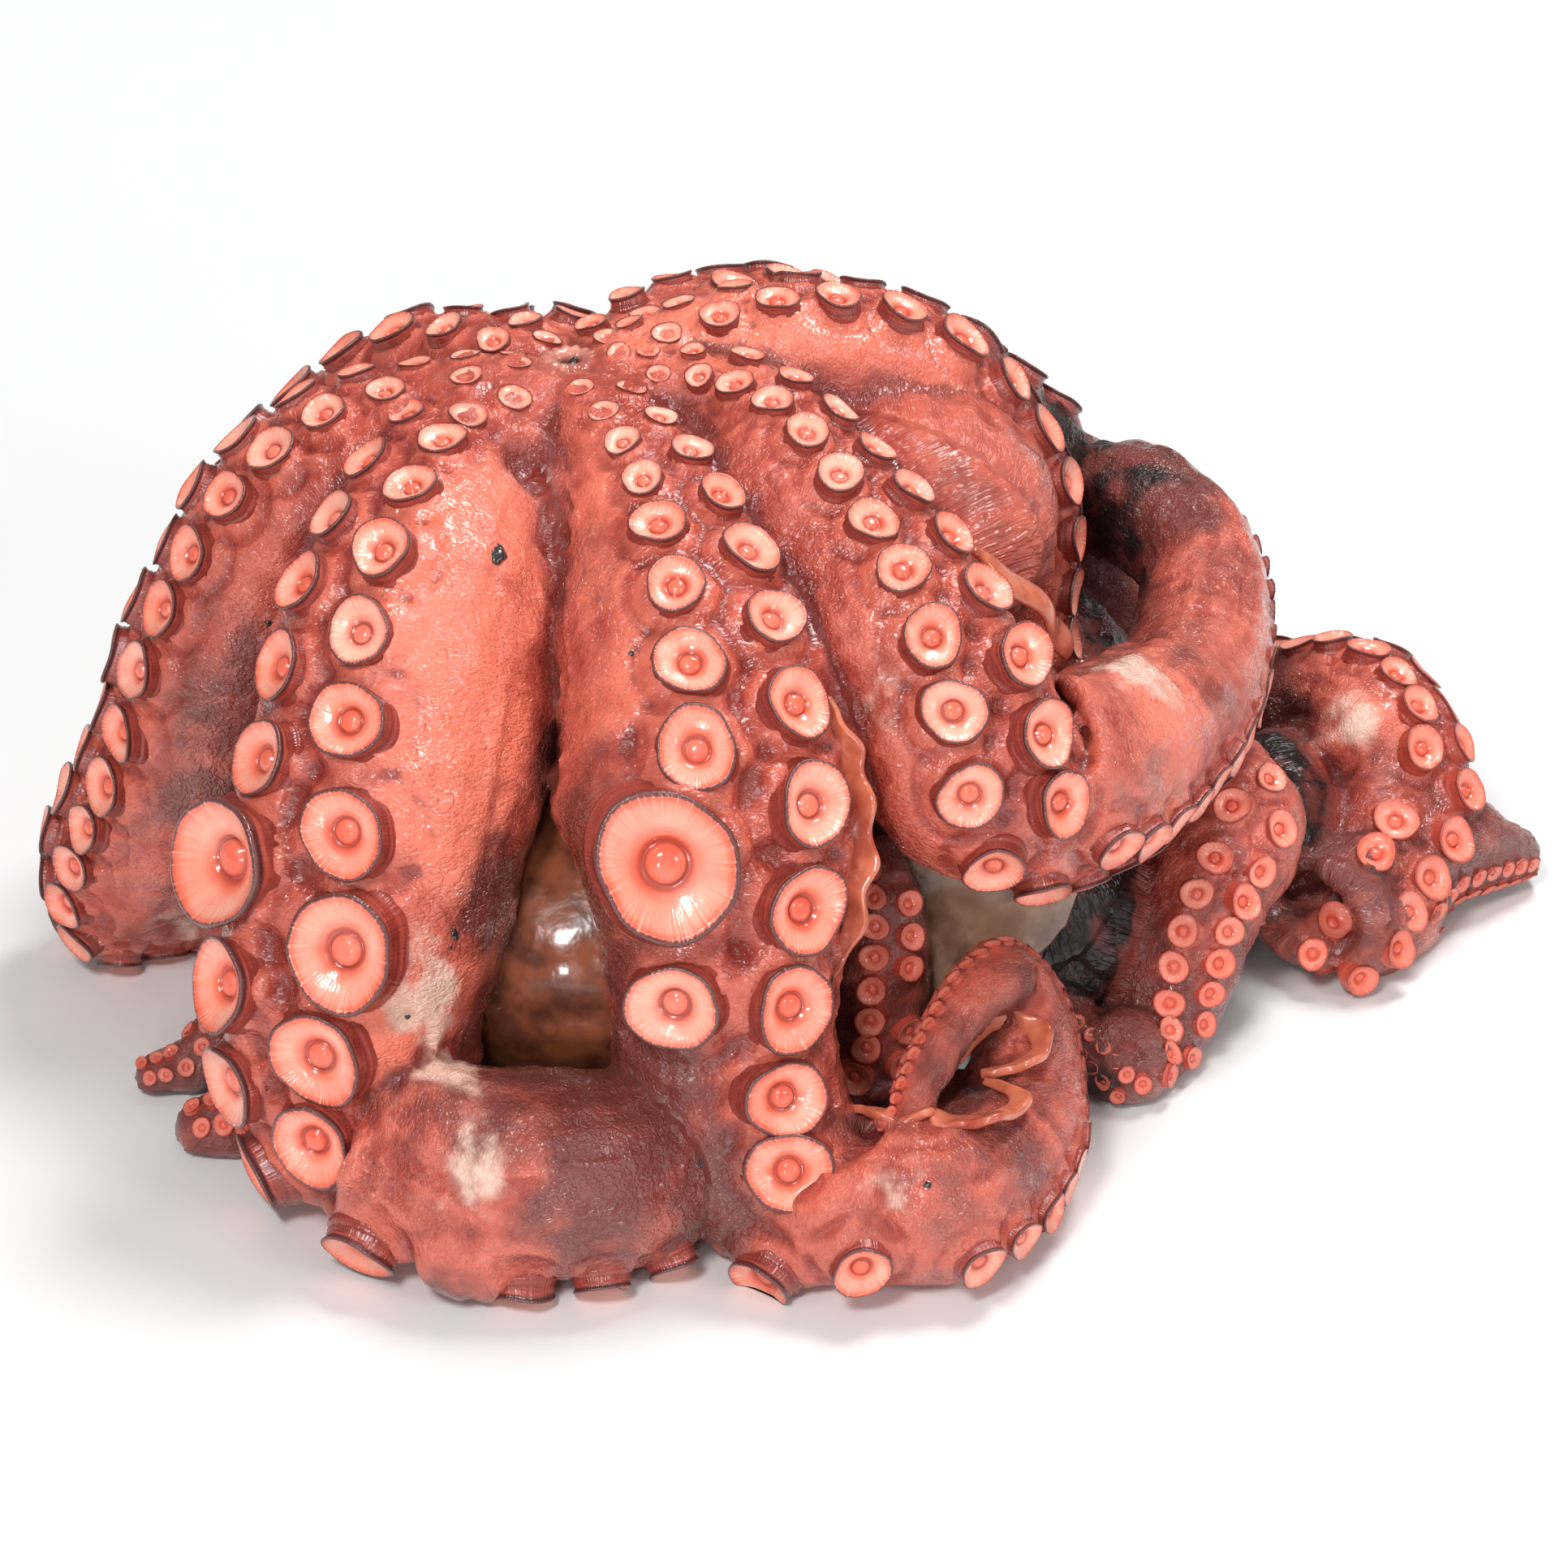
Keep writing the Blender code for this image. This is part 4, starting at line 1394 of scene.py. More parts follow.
def wet_coat(
    graph: Graph, shader: bpy.types.Node, group: bpy.types.NodeTree, smoothness: float, **values: float
) -> Socket:
    """Lays the wet film over a finish.

    Args:
        graph: The material's Graph.
        shader: Its shader.
        group: The wet film's group.
        smoothness: Roughness of the liquid's own surface.
        **values: The film's scale, and its roughness where it pools and where it is only damp.

    Returns:
        How thick the film is, from 0 to 1.
    """
    film = group_node(graph, group, **values)
    graph.feed(shader.inputs["Roughness"], film.outputs["Roughness"])
    graph.feed(shader.inputs["Coat Weight"], film.outputs["Film"])
    shader.inputs["Coat Roughness"].default_value = smoothness
    return film.outputs["Film"]


def let_light_in(shader: bpy.types.Node, weight: float, radius: tuple = (1.0, 0.2, 0.1)) -> None:
    """Lets some light travel under the surface.

    Args:
        shader: The material's shader.
        weight: How much of the light does so.
        radius: How far red, green and blue travel against each other.
    """
    shader.inputs["Subsurface Weight"].default_value = weight
    shader.inputs["Subsurface Radius"].default_value = radius
    shader.inputs["Subsurface Scale"].default_value = FLESH_DEPTH * MM


def new_material(name: str) -> tuple:
    """A material with a Principled shader.

    Args:
        name: The material's name.

    Returns:
        The material, its Graph and its shader.
    """
    material = bpy.data.materials.new(name)
    material.use_nodes = True
    return material, Graph(material.node_tree), material.node_tree.nodes["Principled BSDF"]


@dataclass(frozen=True)
class SkinFinish:
    """Wet boiled skin: salmon over the stretched web and as painted light on lit tops, flanks and ridges,
    red-brown painted shade in folds, purple-black towards the tips, near-black painted shade low between
    the arms.
    """

    # salmon of the skin, also used for painted light on lit tops, flanks and ridges
    bright: Colour = (0.86, 0.205, 0.130)
    warm: Colour = (0.42, 0.055, 0.033)
    # red-brown painted shade in folds and hollows
    fold: Colour = (0.19, 0.017, 0.012)
    # purple-brown of darker skin, also of painted shade
    dusk: Colour = (0.170, 0.032, 0.026)
    # near black: painted shade in the deepest hollows, and the darkest skin
    night: Colour = (0.008, 0.005, 0.005)
    # bared flesh, also painted highlights
    pale: Colour = (0.88, 0.58, 0.46)
    dots: Colour = (0.22, 0.04, 0.045)

    def material(self, groups: SharedGroups) -> bpy.types.Material:
        """Builds the material.

        Args:
            groups: The shared groups.

        Returns:
            The material.
        """
        material, graph, shader = new_material("boiled_skin")
        here = graph.here()
        # lighter salmon where the skin is stretched, and painted light on the lit tops and flanks
        broad = graph.step(graph.noise(here, 38.0, 3.0), 0.34, 0.66, -0.28, 0.24)
        stretched_and_lit_skin = graph.math("ADD", graph.value("bright"), broad)
        colour = graph.mix(graph.step(stretched_and_lit_skin, 0.0, 0.95), self.warm, self.bright)
        mottle = graph.step(graph.noise(here, 230.0, 3.0, 0.6), 0.48, 0.70, 0.0, 0.30)
        colour = graph.mix(mottle, colour, self.bright)
        # painted shade: darker in the broad hollows and in the fine folds
        hollow = graph.step(graph.value("hollow"), 0.3, 3.4, 0.0, 0.85)
        colour = graph.mix(hollow, colour, self.fold)
        fold = graph.step(graph.value("fold"), 0.05, 0.75, 0.0, 0.70)
        colour = graph.mix(fold, colour, self.fold)
        # painted light: lighter on the ridges
        ridge = graph.step(graph.value("fold"), -0.12, -0.75, 0.0, 0.45)
        colour = graph.mix(ridge, colour, self.bright)
        # darker skin towards the tips and on the backs, and painted shade from the web, the inner masses
        # and the darkened patches; the darkest skin and the deepest painted shade go near black
        tone = graph.varied(graph.value("tone"), 120.0, -0.12, 0.12)
        colour = graph.mix(graph.step(tone, 0.12, 0.60, 0.0, 0.95), colour, self.dusk)
        colour = graph.mix(graph.step(tone, 0.80, 1.02, 0.0, 0.97), colour, self.night)
        dots = group_node(graph, groups.skin_dots, Scale=760.0, Size=0.34).outputs["Mask"]
        colour = graph.mix(graph.math("MULTIPLY", dots, 0.42), colour, self.dots)
        # bared, paler flesh, and in places a painted highlight
        bare = graph.step(graph.varied(graph.value("pale"), 150.0, -0.30, 0.25), 0.22, 0.90, 0.0, 0.92)
        colour = graph.mix(bare, colour, self.pale)
        graph.feed(shader.inputs["Base Color"], colour)

        film = wet_coat(graph, shader, groups.wet_film, 0.07, Scale=75.0, Pooled=0.20, Damp=0.44)
        # less wet film where the skin is painted darkest, much of it painted shade, so its reflection
        # doesn't grey it
        thinner_film_where_darkest = graph.step(graph.value("tone"), 0.80, 1.0, 1.0, 0.12)
        graph.feed(shader.inputs["Coat Weight"], graph.math("MULTIPLY", film, thinner_film_where_darkest))
        shader.inputs["Coat IOR"].default_value = 1.52
        let_light_in(shader, 0.10, (1.0, 0.35, 0.2))

        along = graph.value("arm_place", "Vector")
        stretched = graph.vector("MULTIPLY", along, (10.0, 1.6, 1.6))
        wrinkles = graph.noise(stretched, 4.0, 3.0, 0.55)
        crease = graph.math("ABSOLUTE", graph.math("SUBTRACT", graph.noise(stretched, 7.0, 2.0, 0.5), 0.5))
        crease = graph.step(crease, 0.0, 0.10)
        wrinkles = graph.math("ADD", wrinkles, graph.math("MULTIPLY", crease, 0.30))
        wrinkles = graph.math("MULTIPLY", wrinkles, graph.step(graph.value("flank"), 0.0, 1.0, 0.35, 1.0))
        pebble = graph.noise(here, 560.0, 2.0, 0.5)
        soft = graph.noise(here, 170.0, 2.0, 0.5)
        height = graph.math("ADD", wrinkles, graph.math("MULTIPLY", pebble, 0.16))
        height = graph.math("ADD", height, graph.math("MULTIPLY", soft, 1.2))
        graph.feed(shader.inputs["Normal"], graph.bump(height, 0.50, 0.0014))
        graph.feed(shader.inputs["Coat Normal"], graph.bump(height, 1.0, 0.0031))
        return material


@dataclass(frozen=True)
class CupFinish:
    """Suckers: peach discs with fine spokes, darker towards the middle and round the plug (partly painted
    shade) and lighter on the inner slope (partly painted light), a thin dusky rim, and red-brown ringed
    walls.
    """

    disc: Colour = (1.0, 0.235, 0.142)
    light: Colour = (1.0, 0.52, 0.39)
    deep: Colour = (0.80, 0.110, 0.060)
    ring: Colour = (0.40, 0.045, 0.030)
    rim: Colour = (0.050, 0.024, 0.028)
    wall: Colour = (0.52, 0.088, 0.056)
    wall_fold: Colour = (0.27, 0.034, 0.024)
    dusk: Colour = (0.15, 0.036, 0.032)

    def material(self, groups: SharedGroups) -> bpy.types.Material:
        """Builds the material.

        Args:
            groups: The shared groups.

        Returns:
            The material.
        """
        material, graph, shader = new_material("sucker_flesh")
        place = graph.value("cup_place", "Vector")
        seed = graph.value("cup_seed")
        flat = graph.vector("MULTIPLY", place, (1.0, 1.0, 0.0))
        radius = graph.vector("LENGTH", flat)
        own_shift = graph.add("ShaderNodeCombineXYZ")
        graph.feed(own_shift.inputs["Z"], seed)
        spoke_at = graph.vector("ADD", graph.vector("NORMALIZE", flat), own_shift.outputs["Vector"])
        spokes = graph.noise(spoke_at, 17.0, 2.0, 0.5)
        broad = graph.noise(graph.vector("ADD", flat, own_shift.outputs["Vector"]), 2.6, 2.0)
        height = graph.add("ShaderNodeSeparateXYZ")
        graph.feed(height.inputs["Vector"], place)
        level = height.outputs["Z"]

        lightness = graph.math("FRACT", graph.math("MULTIPLY", seed, 3.7))
        colour = graph.mix(graph.step(lightness, 0.45, 1.0, 0.0, 0.70), self.disc, self.light)
        colour = graph.mix(graph.step(broad, 0.46, 0.70, 0.0, 0.70), colour, self.light)
        colour = graph.mix(graph.step(broad, 0.46, 0.28, 0.0, 0.50), colour, self.deep)
        # darker towards the dish's middle: partly the disc's own deeper coral, partly painted shade in the
        # bowl
        colour = graph.mix(graph.step(radius, 0.34, 0.17, 0.0, 0.50), colour, self.deep)
        # a lighter band on the dish's inner slope: partly the disc's own cream, partly painted light
        band = graph.math("MULTIPLY", graph.step(radius, 0.20, 0.30), graph.step(radius, 0.44, 0.37))
        colour = graph.mix(graph.math("MULTIPLY", band, 0.45), colour, self.light)
        colour = graph.mix(graph.step(radius, 0.405, 0.450, 0.0, 0.70), colour, self.deep)
        outer = graph.step(radius, 0.24, 0.40)
        spoke_mask = graph.math("MULTIPLY", graph.step(spokes, 0.44, 0.66), outer)
        colour = graph.mix(graph.math("MULTIPLY", spoke_mask, 0.26), colour, self.deep)
        spoke_light = graph.math("MULTIPLY", graph.step(spokes, 0.44, 0.30), outer)
        colour = graph.mix(graph.math("MULTIPLY", spoke_light, 0.50), colour, self.light)
        # dark red ring in the groove round the plug: partly its own colour, partly painted shade
        groove = graph.math("MULTIPLY", graph.step(radius, 0.122, 0.145), graph.step(radius, 0.215, 0.155))
        colour = graph.mix(graph.math("MULTIPLY", groove, 0.75), colour, self.ring)
        plug = graph.step(radius, 0.13, 0.09)
        colour = graph.mix(graph.math("MULTIPLY", plug, 0.35), colour, self.deep)

        bands = graph.add("ShaderNodeCombineXYZ")
        graph.feed(bands.inputs["Z"], graph.math("MULTIPLY", level, 26.0))
        around = graph.vector("ADD", graph.vector("NORMALIZE", flat), bands.outputs["Vector"])
        wall = graph.mix(graph.step(graph.noise(around, 1.4, 2.0), 0.40, 0.62), self.wall_fold, self.wall)
        low_wall = graph.step(level, 0.20, 0.03)
        wall = graph.mix(graph.math("MULTIPLY", low_wall, 0.6), wall, self.wall_fold)
        past = graph.math("ADD", radius, graph.math("MULTIPLY", graph.math("SUBTRACT", spokes, 0.5), 0.035))
        rim = graph.math("MULTIPLY", graph.step(past, 0.452, 0.468), graph.step(level, 0.160, 0.200))
        outside = graph.math("MULTIPLY", graph.step(radius, 0.40, 0.43), graph.step(level, 0.236, 0.210))
        colour = graph.mix(outside, colour, wall)
        colour = graph.mix(graph.math("MULTIPLY", rim, 0.88), colour, self.rim)
        tone = graph.value("cup_tone")
        colour = graph.mix(graph.step(tone, 0.05, 0.45, 0.0, 0.60), colour, self.deep)
        colour = graph.mix(graph.step(tone, 0.40, 1.0, 0.0, 0.85), colour, self.dusk)
        graph.feed(shader.inputs["Base Color"], colour)

        wet_coat(graph, shader, groups.wet_film, 0.08, Scale=160.0, Pooled=0.20, Damp=0.46)
        shader.inputs["Coat IOR"].default_value = 1.40
        let_light_in(shader, 0.15, (1.0, 0.4, 0.25))
        grooves = graph.math("MULTIPLY", spokes, outer)
        ripples = graph.math("MULTIPLY", graph.noise(graph.here(), 420.0, 2.0), 0.45)
        normal = graph.bump(graph.math("ADD", grooves, ripples), 0.45, 0.0007)
        graph.feed(shader.inputs["Normal"], normal)
        graph.feed(shader.inputs["Coat Normal"], normal)
        return material


class Pose(Enum):
    """Which way a loose edge leans at its free rim."""

    FLAT = 0.0
    CURLED = 1.0


@dataclass
class LooseEdge:
    """A thin free edge of torn web: a ribbon rooted in the skin, ruffled at its rim."""

    name: str
    roots: tuple  # x, y, z of the root line, in millimetres
    lean: tuple  # ways in which the ribbon stands out, spread evenly from its start to its end
    width: float
    thickness: float = 1.5
    ruffle: float = 1.6
    ruffles: float = 5.0
    pose: Pose = Pose.FLAT
    curl: float = 2.2  # turn of a curled rim, in radians
    root_depth: float = 1.5  # how far the root reaches under the skin
    strips: int = 7
    spans: int = 12

    def build(self, rng: np.random.Generator) -> bpy.types.Object:
        """Bends a grid along the root line, ruffles its rim and gives it thickness.

        Args:
            rng: Source of its irregularities.

        Returns:
            The ribbon, in metres.
        """
        line = catmull_rom(np.array(self.roots, float), self.spans) - CENTRE
        count = len(line)
        along = unit(np.gradient(line, axis=0))
        share = np.linspace(0.0, 1.0, count)
        ways = unit(np.array(self.lean, float))
        marks = np.linspace(0.0, 1.0, len(ways))
        out = unit(np.stack([np.interp(share, marks, column) for column in ways.T], axis=1))
        out = unit(out - (out * along).sum(axis=1, keepdims=True) * along)
        up = np.cross(along, out)
        deselect()
        bpy.ops.mesh.primitive_grid_add(x_subdivisions=count - 1, y_subdivisions=self.strips - 1, size=2.0)
        ribbon = bpy.context.object
        ribbon.name = self.name
        grid = coordinates(ribbon)
        step = np.rint((grid[:, 0] + 1.0) / 2.0 * (count - 1)).astype(int)
        rise = (grid[:, 1] + 1.0) / 2.0
        phases = rng.uniform(0.0, math.tau, 3)
        turns = share[step] * math.tau * self.ruffles
        wave = np.sin(turns + phases[0]) + 0.5 * np.sin(2.3 * turns + phases[1])
        ends = np.sin(np.pi * np.clip(share[step], 0.02, 0.98)) ** 0.5
        reach = self.width * rise * ends * (1.0 + 0.18 * np.sin(1.7 * turns + phases[2]))
        bend = self.pose.value * self.curl * rise
        stretch = np.sin(bend) / self.curl if self.pose is Pose.CURLED else rise
        forward = stretch * reach / np.maximum(rise, 0.01) - self.root_depth
        lifted = self.pose.value * (1.0 - np.cos(bend)) / self.curl * self.width * ends
        lifted = lifted + self.ruffle * wave * rise**1.5 * ends
        places = line[step] + out[step] * forward[:, None] + up[step] * lifted[:, None]
        move_vertices(ribbon, places * MM)
        apply_modifier(ribbon, "SOLIDIFY", thickness=self.thickness * MM, offset=0.0)
        apply_modifier(ribbon, "SUBSURF", levels=1, render_levels=1)
        face_outward(ribbon)
        return ribbon


@dataclass(frozen=True)
class FleshFinish:
    """A plainer wet flesh for edges, the head, the mouth and the flecks."""

    name: str
    light: Colour
    deep: Colour
    pooled: float = 0.16
    damp: float = 0.40
    grain: float = 300.0
    streak: tuple = (1.0, 1.0, 1.0)

    def material(self, groups: SharedGroups) -> bpy.types.Material:
        """Builds the material.

        Args:
            groups: The shared groups.

        Returns:
            The material.
        """
        material, graph, shader = new_material(self.name)
        here = graph.vector("MULTIPLY", graph.here(), self.streak)
        blotches = graph.step(graph.noise(here, 90.0, 3.0, 0.6), 0.35, 0.65)
        colour = graph.mix(blotches, self.deep, self.light)
        graph.feed(shader.inputs["Base Color"], colour)
        wet_coat(graph, shader, groups.wet_film, 0.10, Scale=110.0, Pooled=self.pooled, Damp=self.damp)
        let_light_in(shader, 0.10)
        height = graph.noise(here, self.grain, 2.0)
        graph.feed(shader.inputs["Normal"], graph.bump(height, 0.3, 0.0008))
        return material


@dataclass
class Head:
    """The head seen between the two front arms: a rounded bag with the edge of a band across it."""

    lump: Lump = Lump((-42, -16, 38), (44, 52, 38))
    unevenness: Wave = Wave(1.3, 17.0, 11)
    band_height: float = 36.0
    band_thickness: float = 1.1
    band_edge: float = 1.2  # half the width over which the band's edge rises
    band_wave: float = 2.0
    band_wave_length: float = 9.0

    def build(self) -> bpy.types.Object:
        """Shapes a ball into the head.

        Returns:
            The head, in metres.
        """
        head = self.lump.ball()
        head.name = "head"
        apply_modifier(head, "SUBSURF", levels=1, render_levels=1)
        places = coordinates(head) / MM
        normals = vertex_normals(head)
        edge = self.band_height + self.band_wave * np.sin(places[:, 0] / self.band_wave_length)
        band = smoothstep(places[:, 2], edge + self.band_edge, edge - self.band_edge)
        height = self.unevenness.on(places) + self.band_thickness * band
        move_vertices(head, (places + normals * height[:, None]) * MM)
        return head


@dataclass
class Mouth:
    """The puckered lip at the top of the web, round the dark tip of the beak."""

    centre: tuple = (-45.0, 21.0, 144.6)
    lip_radius: float = 4.6
    lip_thickness: float = 2.1
    pleats: int = 14
    beak_radius: float = 3.0
    beak_tip: float = 0.4
    beak_height: float = 4.0
    beak_hook: float = 1.2  # how far the tip leans to the side

    def lip(self) -> bpy.types.Object:
        """A ring whose surface is drawn into pleats.

        Returns:
            The lip, in metres.
        """
        middle = in_metres(self.centre)
        deselect()
        bpy.ops.mesh.primitive_torus_add(
            major_segments=84, minor_segments=14, major_radius=self.lip_radius * MM,
            minor_radius=self.lip_thickness * MM, location=middle,
        )
        lip = named_solid("mouth_lip")
        places = coordinates(lip)
        gap = places - middle
        angle = np.arctan2(gap[:, 1], gap[:, 0])
        pleat = 1.0 + 0.07 * np.cos(self.pleats * angle) + 0.03 * np.sin(5 * angle)
        move_vertices(lip, middle + gap * pleat[:, None])
        return lip

    def beak(self) -> bpy.types.Object:
        """The hooked tip of the beak inside the lip.

        Returns:
            The beak, in metres.
        """
        middle = in_metres(self.centre)
        deselect()
        bpy.ops.mesh.primitive_cone_add(
            vertices=20, radius1=self.beak_radius * MM, radius2=self.beak_tip * MM,
            depth=self.beak_height * MM, location=middle,
        )
        beak = named_solid("beak")
        apply_modifier(beak, "SUBSURF", levels=2, render_levels=2)
        places = coordinates(beak)
        rise = (places[:, 2] - middle[2]) / (self.beak_height / 2 * MM)
        places[:, 0] += self.beak_hook * MM * smoothstep(rise, -0.4, 1.0)
        move_vertices(beak, places)
        return beak


@dataclass
class Flecks:
    """Small dark scraps of skin and grit lying on the flesh."""

    places: tuple = (
        # place and size in millimetres
        ((-57, -38, 129), 4.2),
        ((17, 5, 143), 3.4),
        ((-96, -92, 33), 2.4),
        ((-106, -7, 85), 1.8),
        ((-108, -7, 101), 1.4),
        ((-70, -75, 65), 2.0),
        ((-77, -80, 50), 1.4),
        ((7, -82, 58), 1.6),
        ((-16, -99, 26), 1.3),
        ((66, -45, 62), 1.3),
        ((-30, -58, 118), 1.0),
        ((28, -106, 24), 1.3),
    )
    scales: tuple = (1.0, 0.6, 0.45)  # sizes of the scraps that lie together at each place
    scatter: float = 0.55
    crumple: float = 0.55
    flatness: float = 0.62

    def build(self, surface: BVHTree, rng: np.random.Generator) -> bpy.types.Object:
        """Lays a few crumpled scraps on the skin at each place.

        Args:
            surface: The finished skin, in metres.
            rng: Source of their shapes.

        Returns:
            All the scraps as one piece, in metres.
        """
        scraps = []
        for place, size in self.places:
            for scale in self.scales:
                nudge = rng.uniform(-self.scatter, self.scatter, 3) * size * (scale < 1.0)
                found = surface.find_nearest(Vector((np.array(place) - CENTRE + nudge) * MM))
                spot, normal = np.array(found[0]), np.array(found[1])
                deselect()
                bpy.ops.mesh.primitive_ico_sphere_add(subdivisions=3, radius=1.0)
                scrap = bpy.context.object
                ball = coordinates(scrap)
                dents = lattice_noise(ball * 1.6 + rng.uniform(0, 50, 3), SEED + 12)
                ball = ball * (1.0 + self.crumple * dents)[:, None]
                flat = ball - self.flatness * (ball @ normal)[:, None] * normal
                move_vertices(scrap, spot + flat * size * scale * 0.5 * MM)
                scraps.append(scrap)
        return joined(scraps, "flecks")


@dataclass
class Studio:
    """The pale floor, the lamps and the camera."""

    azimuth: float = 0.0
    elevation: float = 30.0
    distance: float = 0.85
    lens: float = 90.0
    aim: tuple = (-0.0044, -0.0008, 0.055)
    floor_colour: Colour = (0.84, 0.845, 0.845)
    floor_size: float = 8.0
    floor_glow: float = 0.30
    glow_reach: tuple = (0.15, 0.85)  # where the floor starts to whiten and is whitest
    world_strength: float = 0.34
    mirrored_strength: float = 0.16
    lamps: tuple = (
        # name, place, size and power
        ("key_lamp", (-0.30, -0.80, 1.05), 0.26, 8.0),
        ("top_lamp", (0.34, 0.30, 1.15), 0.36, 9.5),
        ("side_lamp", (0.95, -0.85, 0.70), 0.34, 3.5),
        ("low_lamp", (-0.25, -1.30, 0.34), 0.18, 3.2),
    )

    def set_floor(self) -> None:
        """A wide plain floor, white to the camera and still taking the shadow."""
        deselect()
        bpy.ops.mesh.primitive_plane_add(size=self.floor_size, location=(0, 0, 0))
        floor = bpy.context.object
        floor.name = "floor"
        material, graph, shader = new_material("pale_floor")
        shader.inputs["Base Color"].default_value = (*self.floor_colour, 1.0)
        shader.inputs["Roughness"].default_value = 0.6
        path = graph.add("ShaderNodeLightPath")
        away = graph.step(graph.vector("LENGTH", graph.here()), *self.glow_reach, 0.0, self.floor_glow)
        seen_glow = graph.math("MULTIPLY", away, path.outputs["Is Camera Ray"])
        shader.inputs["Emission Color"].default_value = (1.0, 1.0, 1.0, 1.0)
        graph.feed(shader.inputs["Emission Strength"], seen_glow)
        floor.data.materials.append(material)

    def set_world(self) -> None:
        """Plain white light from all round, and a white backdrop."""
        world = bpy.data.worlds.new("studio")
        bpy.context.scene.world = world
        world.use_nodes = True
        graph = Graph(world.node_tree)
        background = world.node_tree.nodes["Background"]
        path = graph.add("ShaderNodeLightPath")
        seen = graph.math("MAXIMUM", path.outputs["Is Camera Ray"], path.outputs["Is Transmission Ray"])
        glossy = path.outputs["Is Glossy Ray"]
        strength = graph.step(glossy, 0.0, 1.0, self.world_strength, self.mirrored_strength)
        strength = graph.math("MAXIMUM", strength, seen)
        graph.feed(background.inputs["Strength"], strength)
        background.inputs["Color"].default_value = (1.0, 1.0, 1.0, 1.0)

    def set_lamps(self) -> None:
        """Large soft lamps round the object."""
        for name, place, size, power in self.lamps:
            bpy.ops.object.light_add(type="AREA", location=place)
            lamp = bpy.context.object
            lamp.name = name
            lamp.data.size = size
            lamp.data.energy = power
            lamp.rotation_euler = (Vector(self.aim) - Vector(place)).to_track_quat("-Z", "Y").to_euler()

    def set_camera(self) -> None:
        """A long lens at a moderate height in front."""
        turn, tilt = math.radians(self.azimuth), math.radians(self.elevation)
        back = Vector((math.sin(turn) * math.cos(tilt), -math.cos(turn) * math.cos(tilt), math.sin(tilt)))
        data = bpy.data.cameras.new("camera")
        data.lens = self.lens
        camera = bpy.data.objects.new("camera", data)
        bpy.context.scene.collection.objects.link(camera)
        camera.location = Vector(self.aim) + back * self.distance
        camera.rotation_euler = (-back).to_track_quat("-Z", "Y").to_euler()
        bpy.context.scene.camera = camera

    def build(self) -> None:
        """Sets up the whole studio."""
        self.set_floor()
        self.set_world()
        self.set_lamps()
        self.set_camera()
        bpy.context.scene.view_settings.view_transform = "Standard"


def octopus_arms() -> list:
    """The eight arms with their own ways of darkening and their overgrown suckers."""
    return [
        Arm("front_arm", FRONT_ARM, giants=((Row.FIRST, 91.0, 30.0),), dark_from=0.6, dark_end=0.38),
        Arm(
            "front_left_arm",
            FRONT_LEFT_ARM,
            giants=((Row.FIRST, 84.0, 27.0), (Row.SECOND, 72.0, 23.0)),
            dark_from=0.6,
            dark_end=0.55,
        ),
        Arm("left_arm", LEFT_ARM, dark_from=0.6, dark_end=0.5),
        Arm("front_right_arm", FRONT_RIGHT_ARM, dark_from=0.7, dark_end=0.8),
        Arm("right_arm", RIGHT_ARM, dark_from=0.45, dark_end=0.55, back_tone=0.85),
        Arm("back_right_arm", BACK_RIGHT_ARM, dark_from=0.4, dark_end=0.5, back_tone=0.7),
        Arm("back_arm", BACK_ARM),
        Arm("back_left_arm", BACK_LEFT_ARM, dark_from=0.6, dark_end=0.6),
    ]


LOOSE_EDGES = (
    LooseEdge(
        "web_edge_front",
        ((9, -57, 108), (12, -62, 99), (14, -66, 89), (14, -71, 78), (13, -77, 67), (9, -82, 56)),
        ((9, -4, 2), (8, -5, 0)),
        width=6.0,
        ruffle=0.9,
        ruffles=3.0,
    ),
    LooseEdge(
        "web_edge_fold",
        ((38, -22, 124), (46, -17, 115), (52, -11, 106), (57, -4, 97), (59, 2, 88)),
        ((7, -2, 5), (9, -3, 3), (9, -3, 0)),
        width=13.0,
        ruffle=1.0,
        ruffles=1.5,
        pose=Pose.CURLED,
    ),
    LooseEdge(
        "web_edge_curl",
        (
            (35, -71, 31), (39, -66, 33), (44, -62, 34), (50, -64, 34),
            (52, -70, 33), (47, -74, 31), (40, -75, 30),
        ),
        ((-7, -6, 5), (-4, -2, 8), (1, 1, 9), (7, 1, 7), (8, -5, 4), (2, -9, 2), (-2, -9, 3)),
        width=5.0,
        thickness=1.8,
        ruffle=0.9,
        ruffles=3.0,
    ),
    LooseEdge(
        "web_edge_curl_low",
        (
            (13, -86, 29), (19, -90, 31), (24, -92, 31), (29, -88, 30), (34, -91, 30),
            (40, -92, 31), (46, -88, 31), (46, -81, 30), (41, -76, 30),
        ),
        (
            (-8, -6, 3), (-4, -9, 3), (0, -9, 4), (1, -9, 4), (0, -10, 3),
            (4, -9, 3), (8, -6, 3), (8, 1, 4), (3, 3, 7),
        ),
        width=5.5,
        thickness=1.8,
        ruffle=1.0,
        ruffles=3.5,
    ),
)


WEB_SHEET = LooseEdge(
    "web_sheet",
    ((16, -34, 72), (28, -36, 68), (40, -36, 60), (52, -34, 52), (62, -28, 44)),
    ((1, -2, -9), (2, -1, -9)),
    width=34.0,
    thickness=1.2,
    ruffle=0.8,
    ruffles=1.2,
)

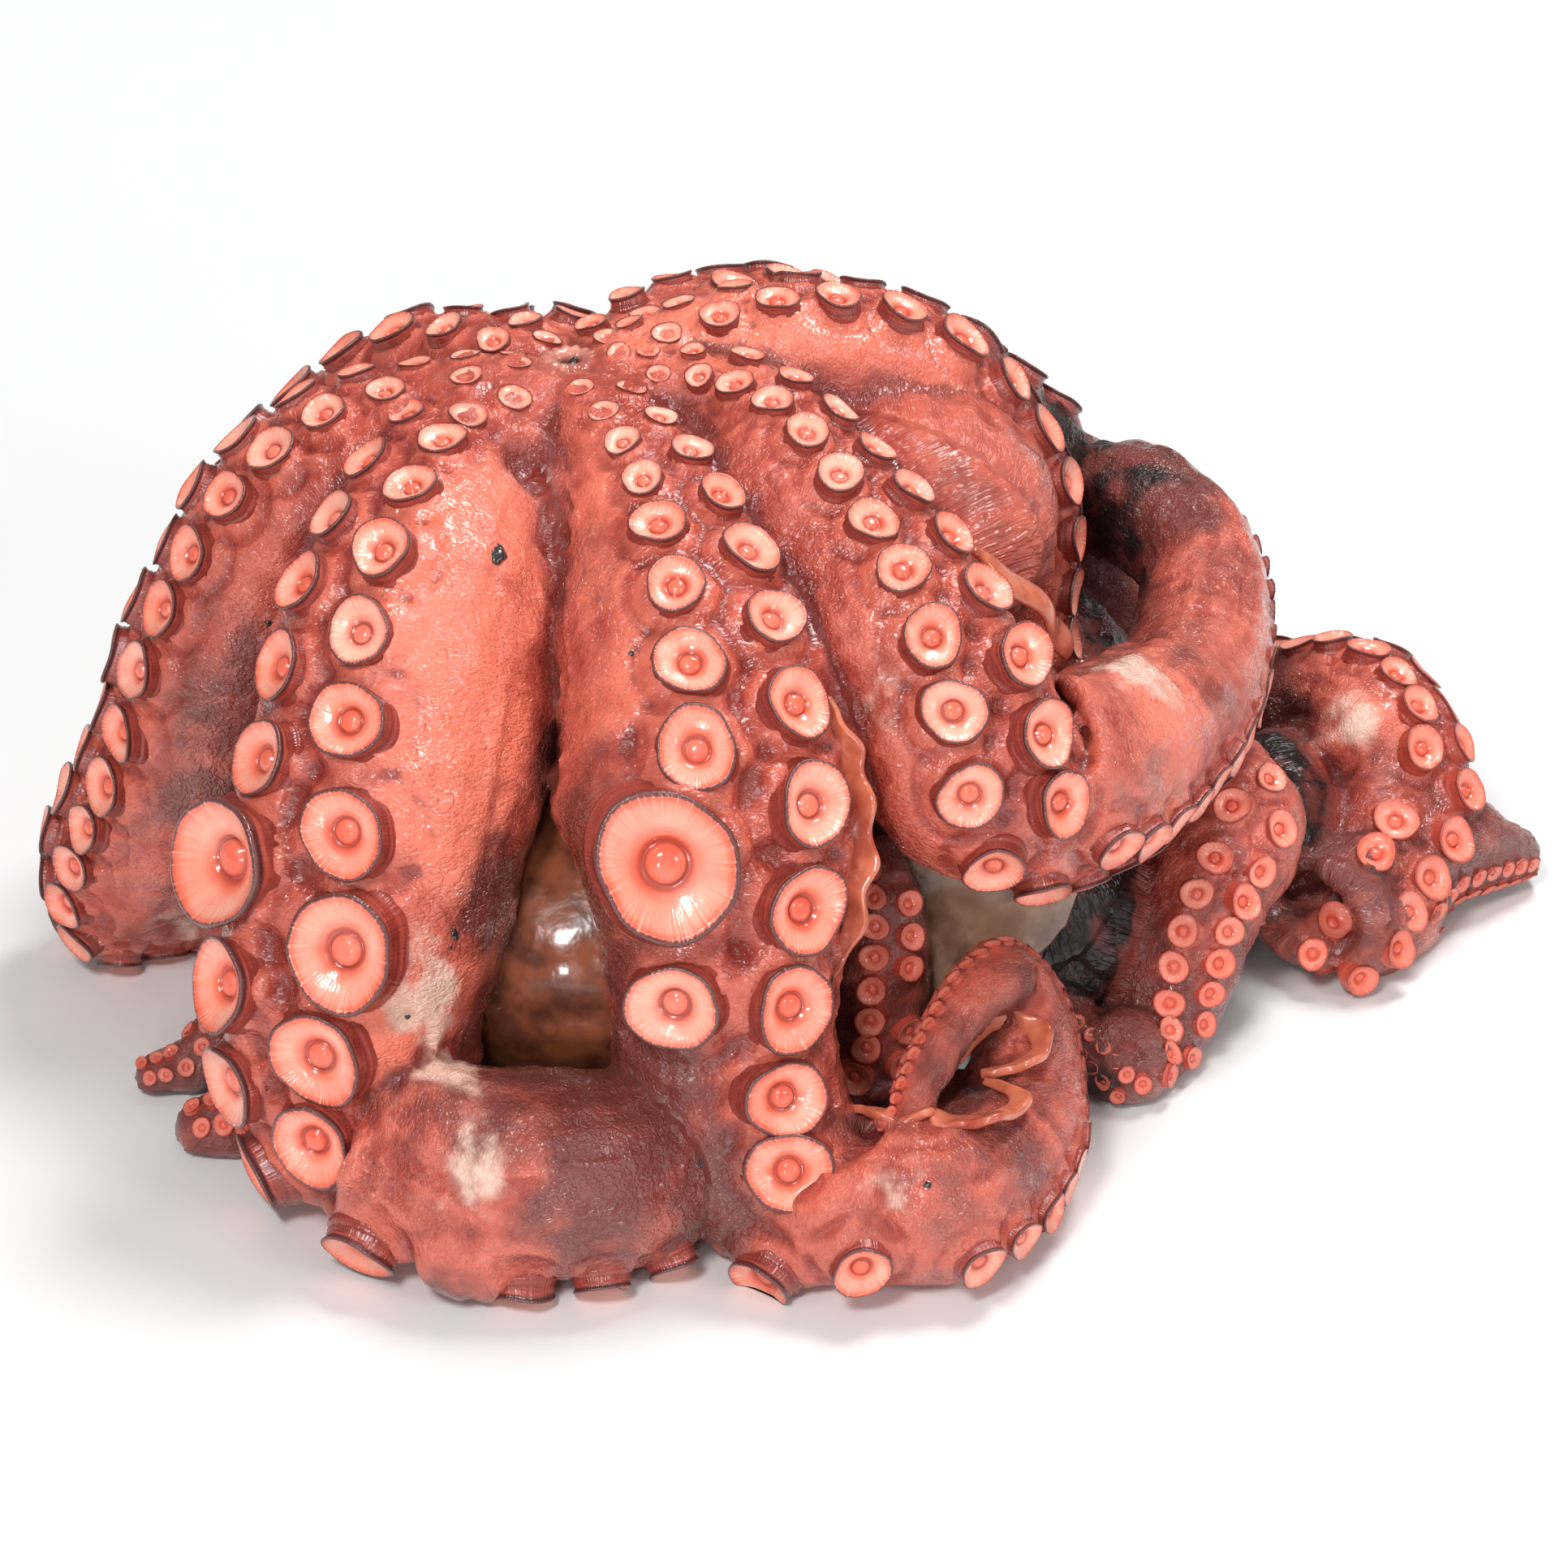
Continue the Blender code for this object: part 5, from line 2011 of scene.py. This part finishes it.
EDGE_FINISH = FleshFinish("web_edge", (0.74, 0.22, 0.12), (0.46, 0.085, 0.045))
HEAD_FINISH = FleshFinish("head_skin", (0.36, 0.105, 0.045), (0.13, 0.036, 0.022), pooled=0.12, damp=0.34)
LIP_FINISH = FleshFinish("lip_skin", (0.72, 0.30, 0.22), (0.42, 0.11, 0.08))
BEAK_FINISH = FleshFinish("beak_horn", (0.05, 0.03, 0.025), (0.015, 0.01, 0.01))
FLECK_FINISH = FleshFinish("dark_fleck", (0.03, 0.022, 0.02), (0.008, 0.006, 0.006))
SHEET_FINISH = FleshFinish("web_sheet", (0.40, 0.24, 0.155), (0.17, 0.085, 0.055), damp=0.34)


def spaced(groups: list, share: float = 0.44) -> list:
    """Leaves out each sucker that would stand on top of another.

    Args:
        groups: The CupSites of each arm.
        share: Least gap between two middles, in sums of their diameters.

    Returns:
        The same groups without the crowded sites.
    """
    kept_places = []
    kept_sizes = []
    kept = []
    for group in groups:
        kept.append([])
        for site in group:
            gaps = np.linalg.norm(np.array(kept_places).reshape(-1, 3) - site.place, axis=1)
            if (gaps < share * (np.array(kept_sizes) + site.diameter)).any():
                continue
            kept_places.append(site.place)
            kept_sizes.append(site.diameter)
            kept[-1].append(site)
    return kept


def main() -> None:
    """Builds the octopus and its studio, piece by piece."""
    studio = Studio()
    studio.build()
    rng = np.random.default_rng(SEED)
    groups = SharedGroups()

    arms = octopus_arms()
    flesh = Flesh(arms)
    skin = flesh.fuse()
    surface = BVHTree.FromObject(skin, bpy.context.evaluated_depsgraph_get())
    sites = spaced([arm.cup_sites(surface, rng) for arm in arms])
    flesh.fold(skin, [site for group in sites for site in group])
    flesh.thin_out(skin)
    flesh.paint(skin)
    hand_over(skin, SkinFinish().material(groups))

    suckers = Suckers()
    suckers.prepare()
    cup_finish = CupFinish().material(groups)
    for arm, group in zip(arms, sites):
        hand_over(suckers.on_arm(arm.name + "_suckers", group, rng), cup_finish)
    suckers.discard()

    edge_finish = EDGE_FINISH.material(groups)
    for edge in LOOSE_EDGES:
        hand_over(edge.build(rng), edge_finish)
    hand_over(Head().build(), HEAD_FINISH.material(groups))
    mouth = Mouth()
    hand_over(mouth.lip(), LIP_FINISH.material(groups))
    hand_over(mouth.beak(), BEAK_FINISH.material(groups))

    surface = BVHTree.FromObject(skin, bpy.context.evaluated_depsgraph_get())
    hand_over(Flecks().build(surface, rng), FLECK_FINISH.material(groups))
    hand_over(WEB_SHEET.build(rng), SHEET_FINISH.material(groups))


if __name__ == "__main__":
    main()
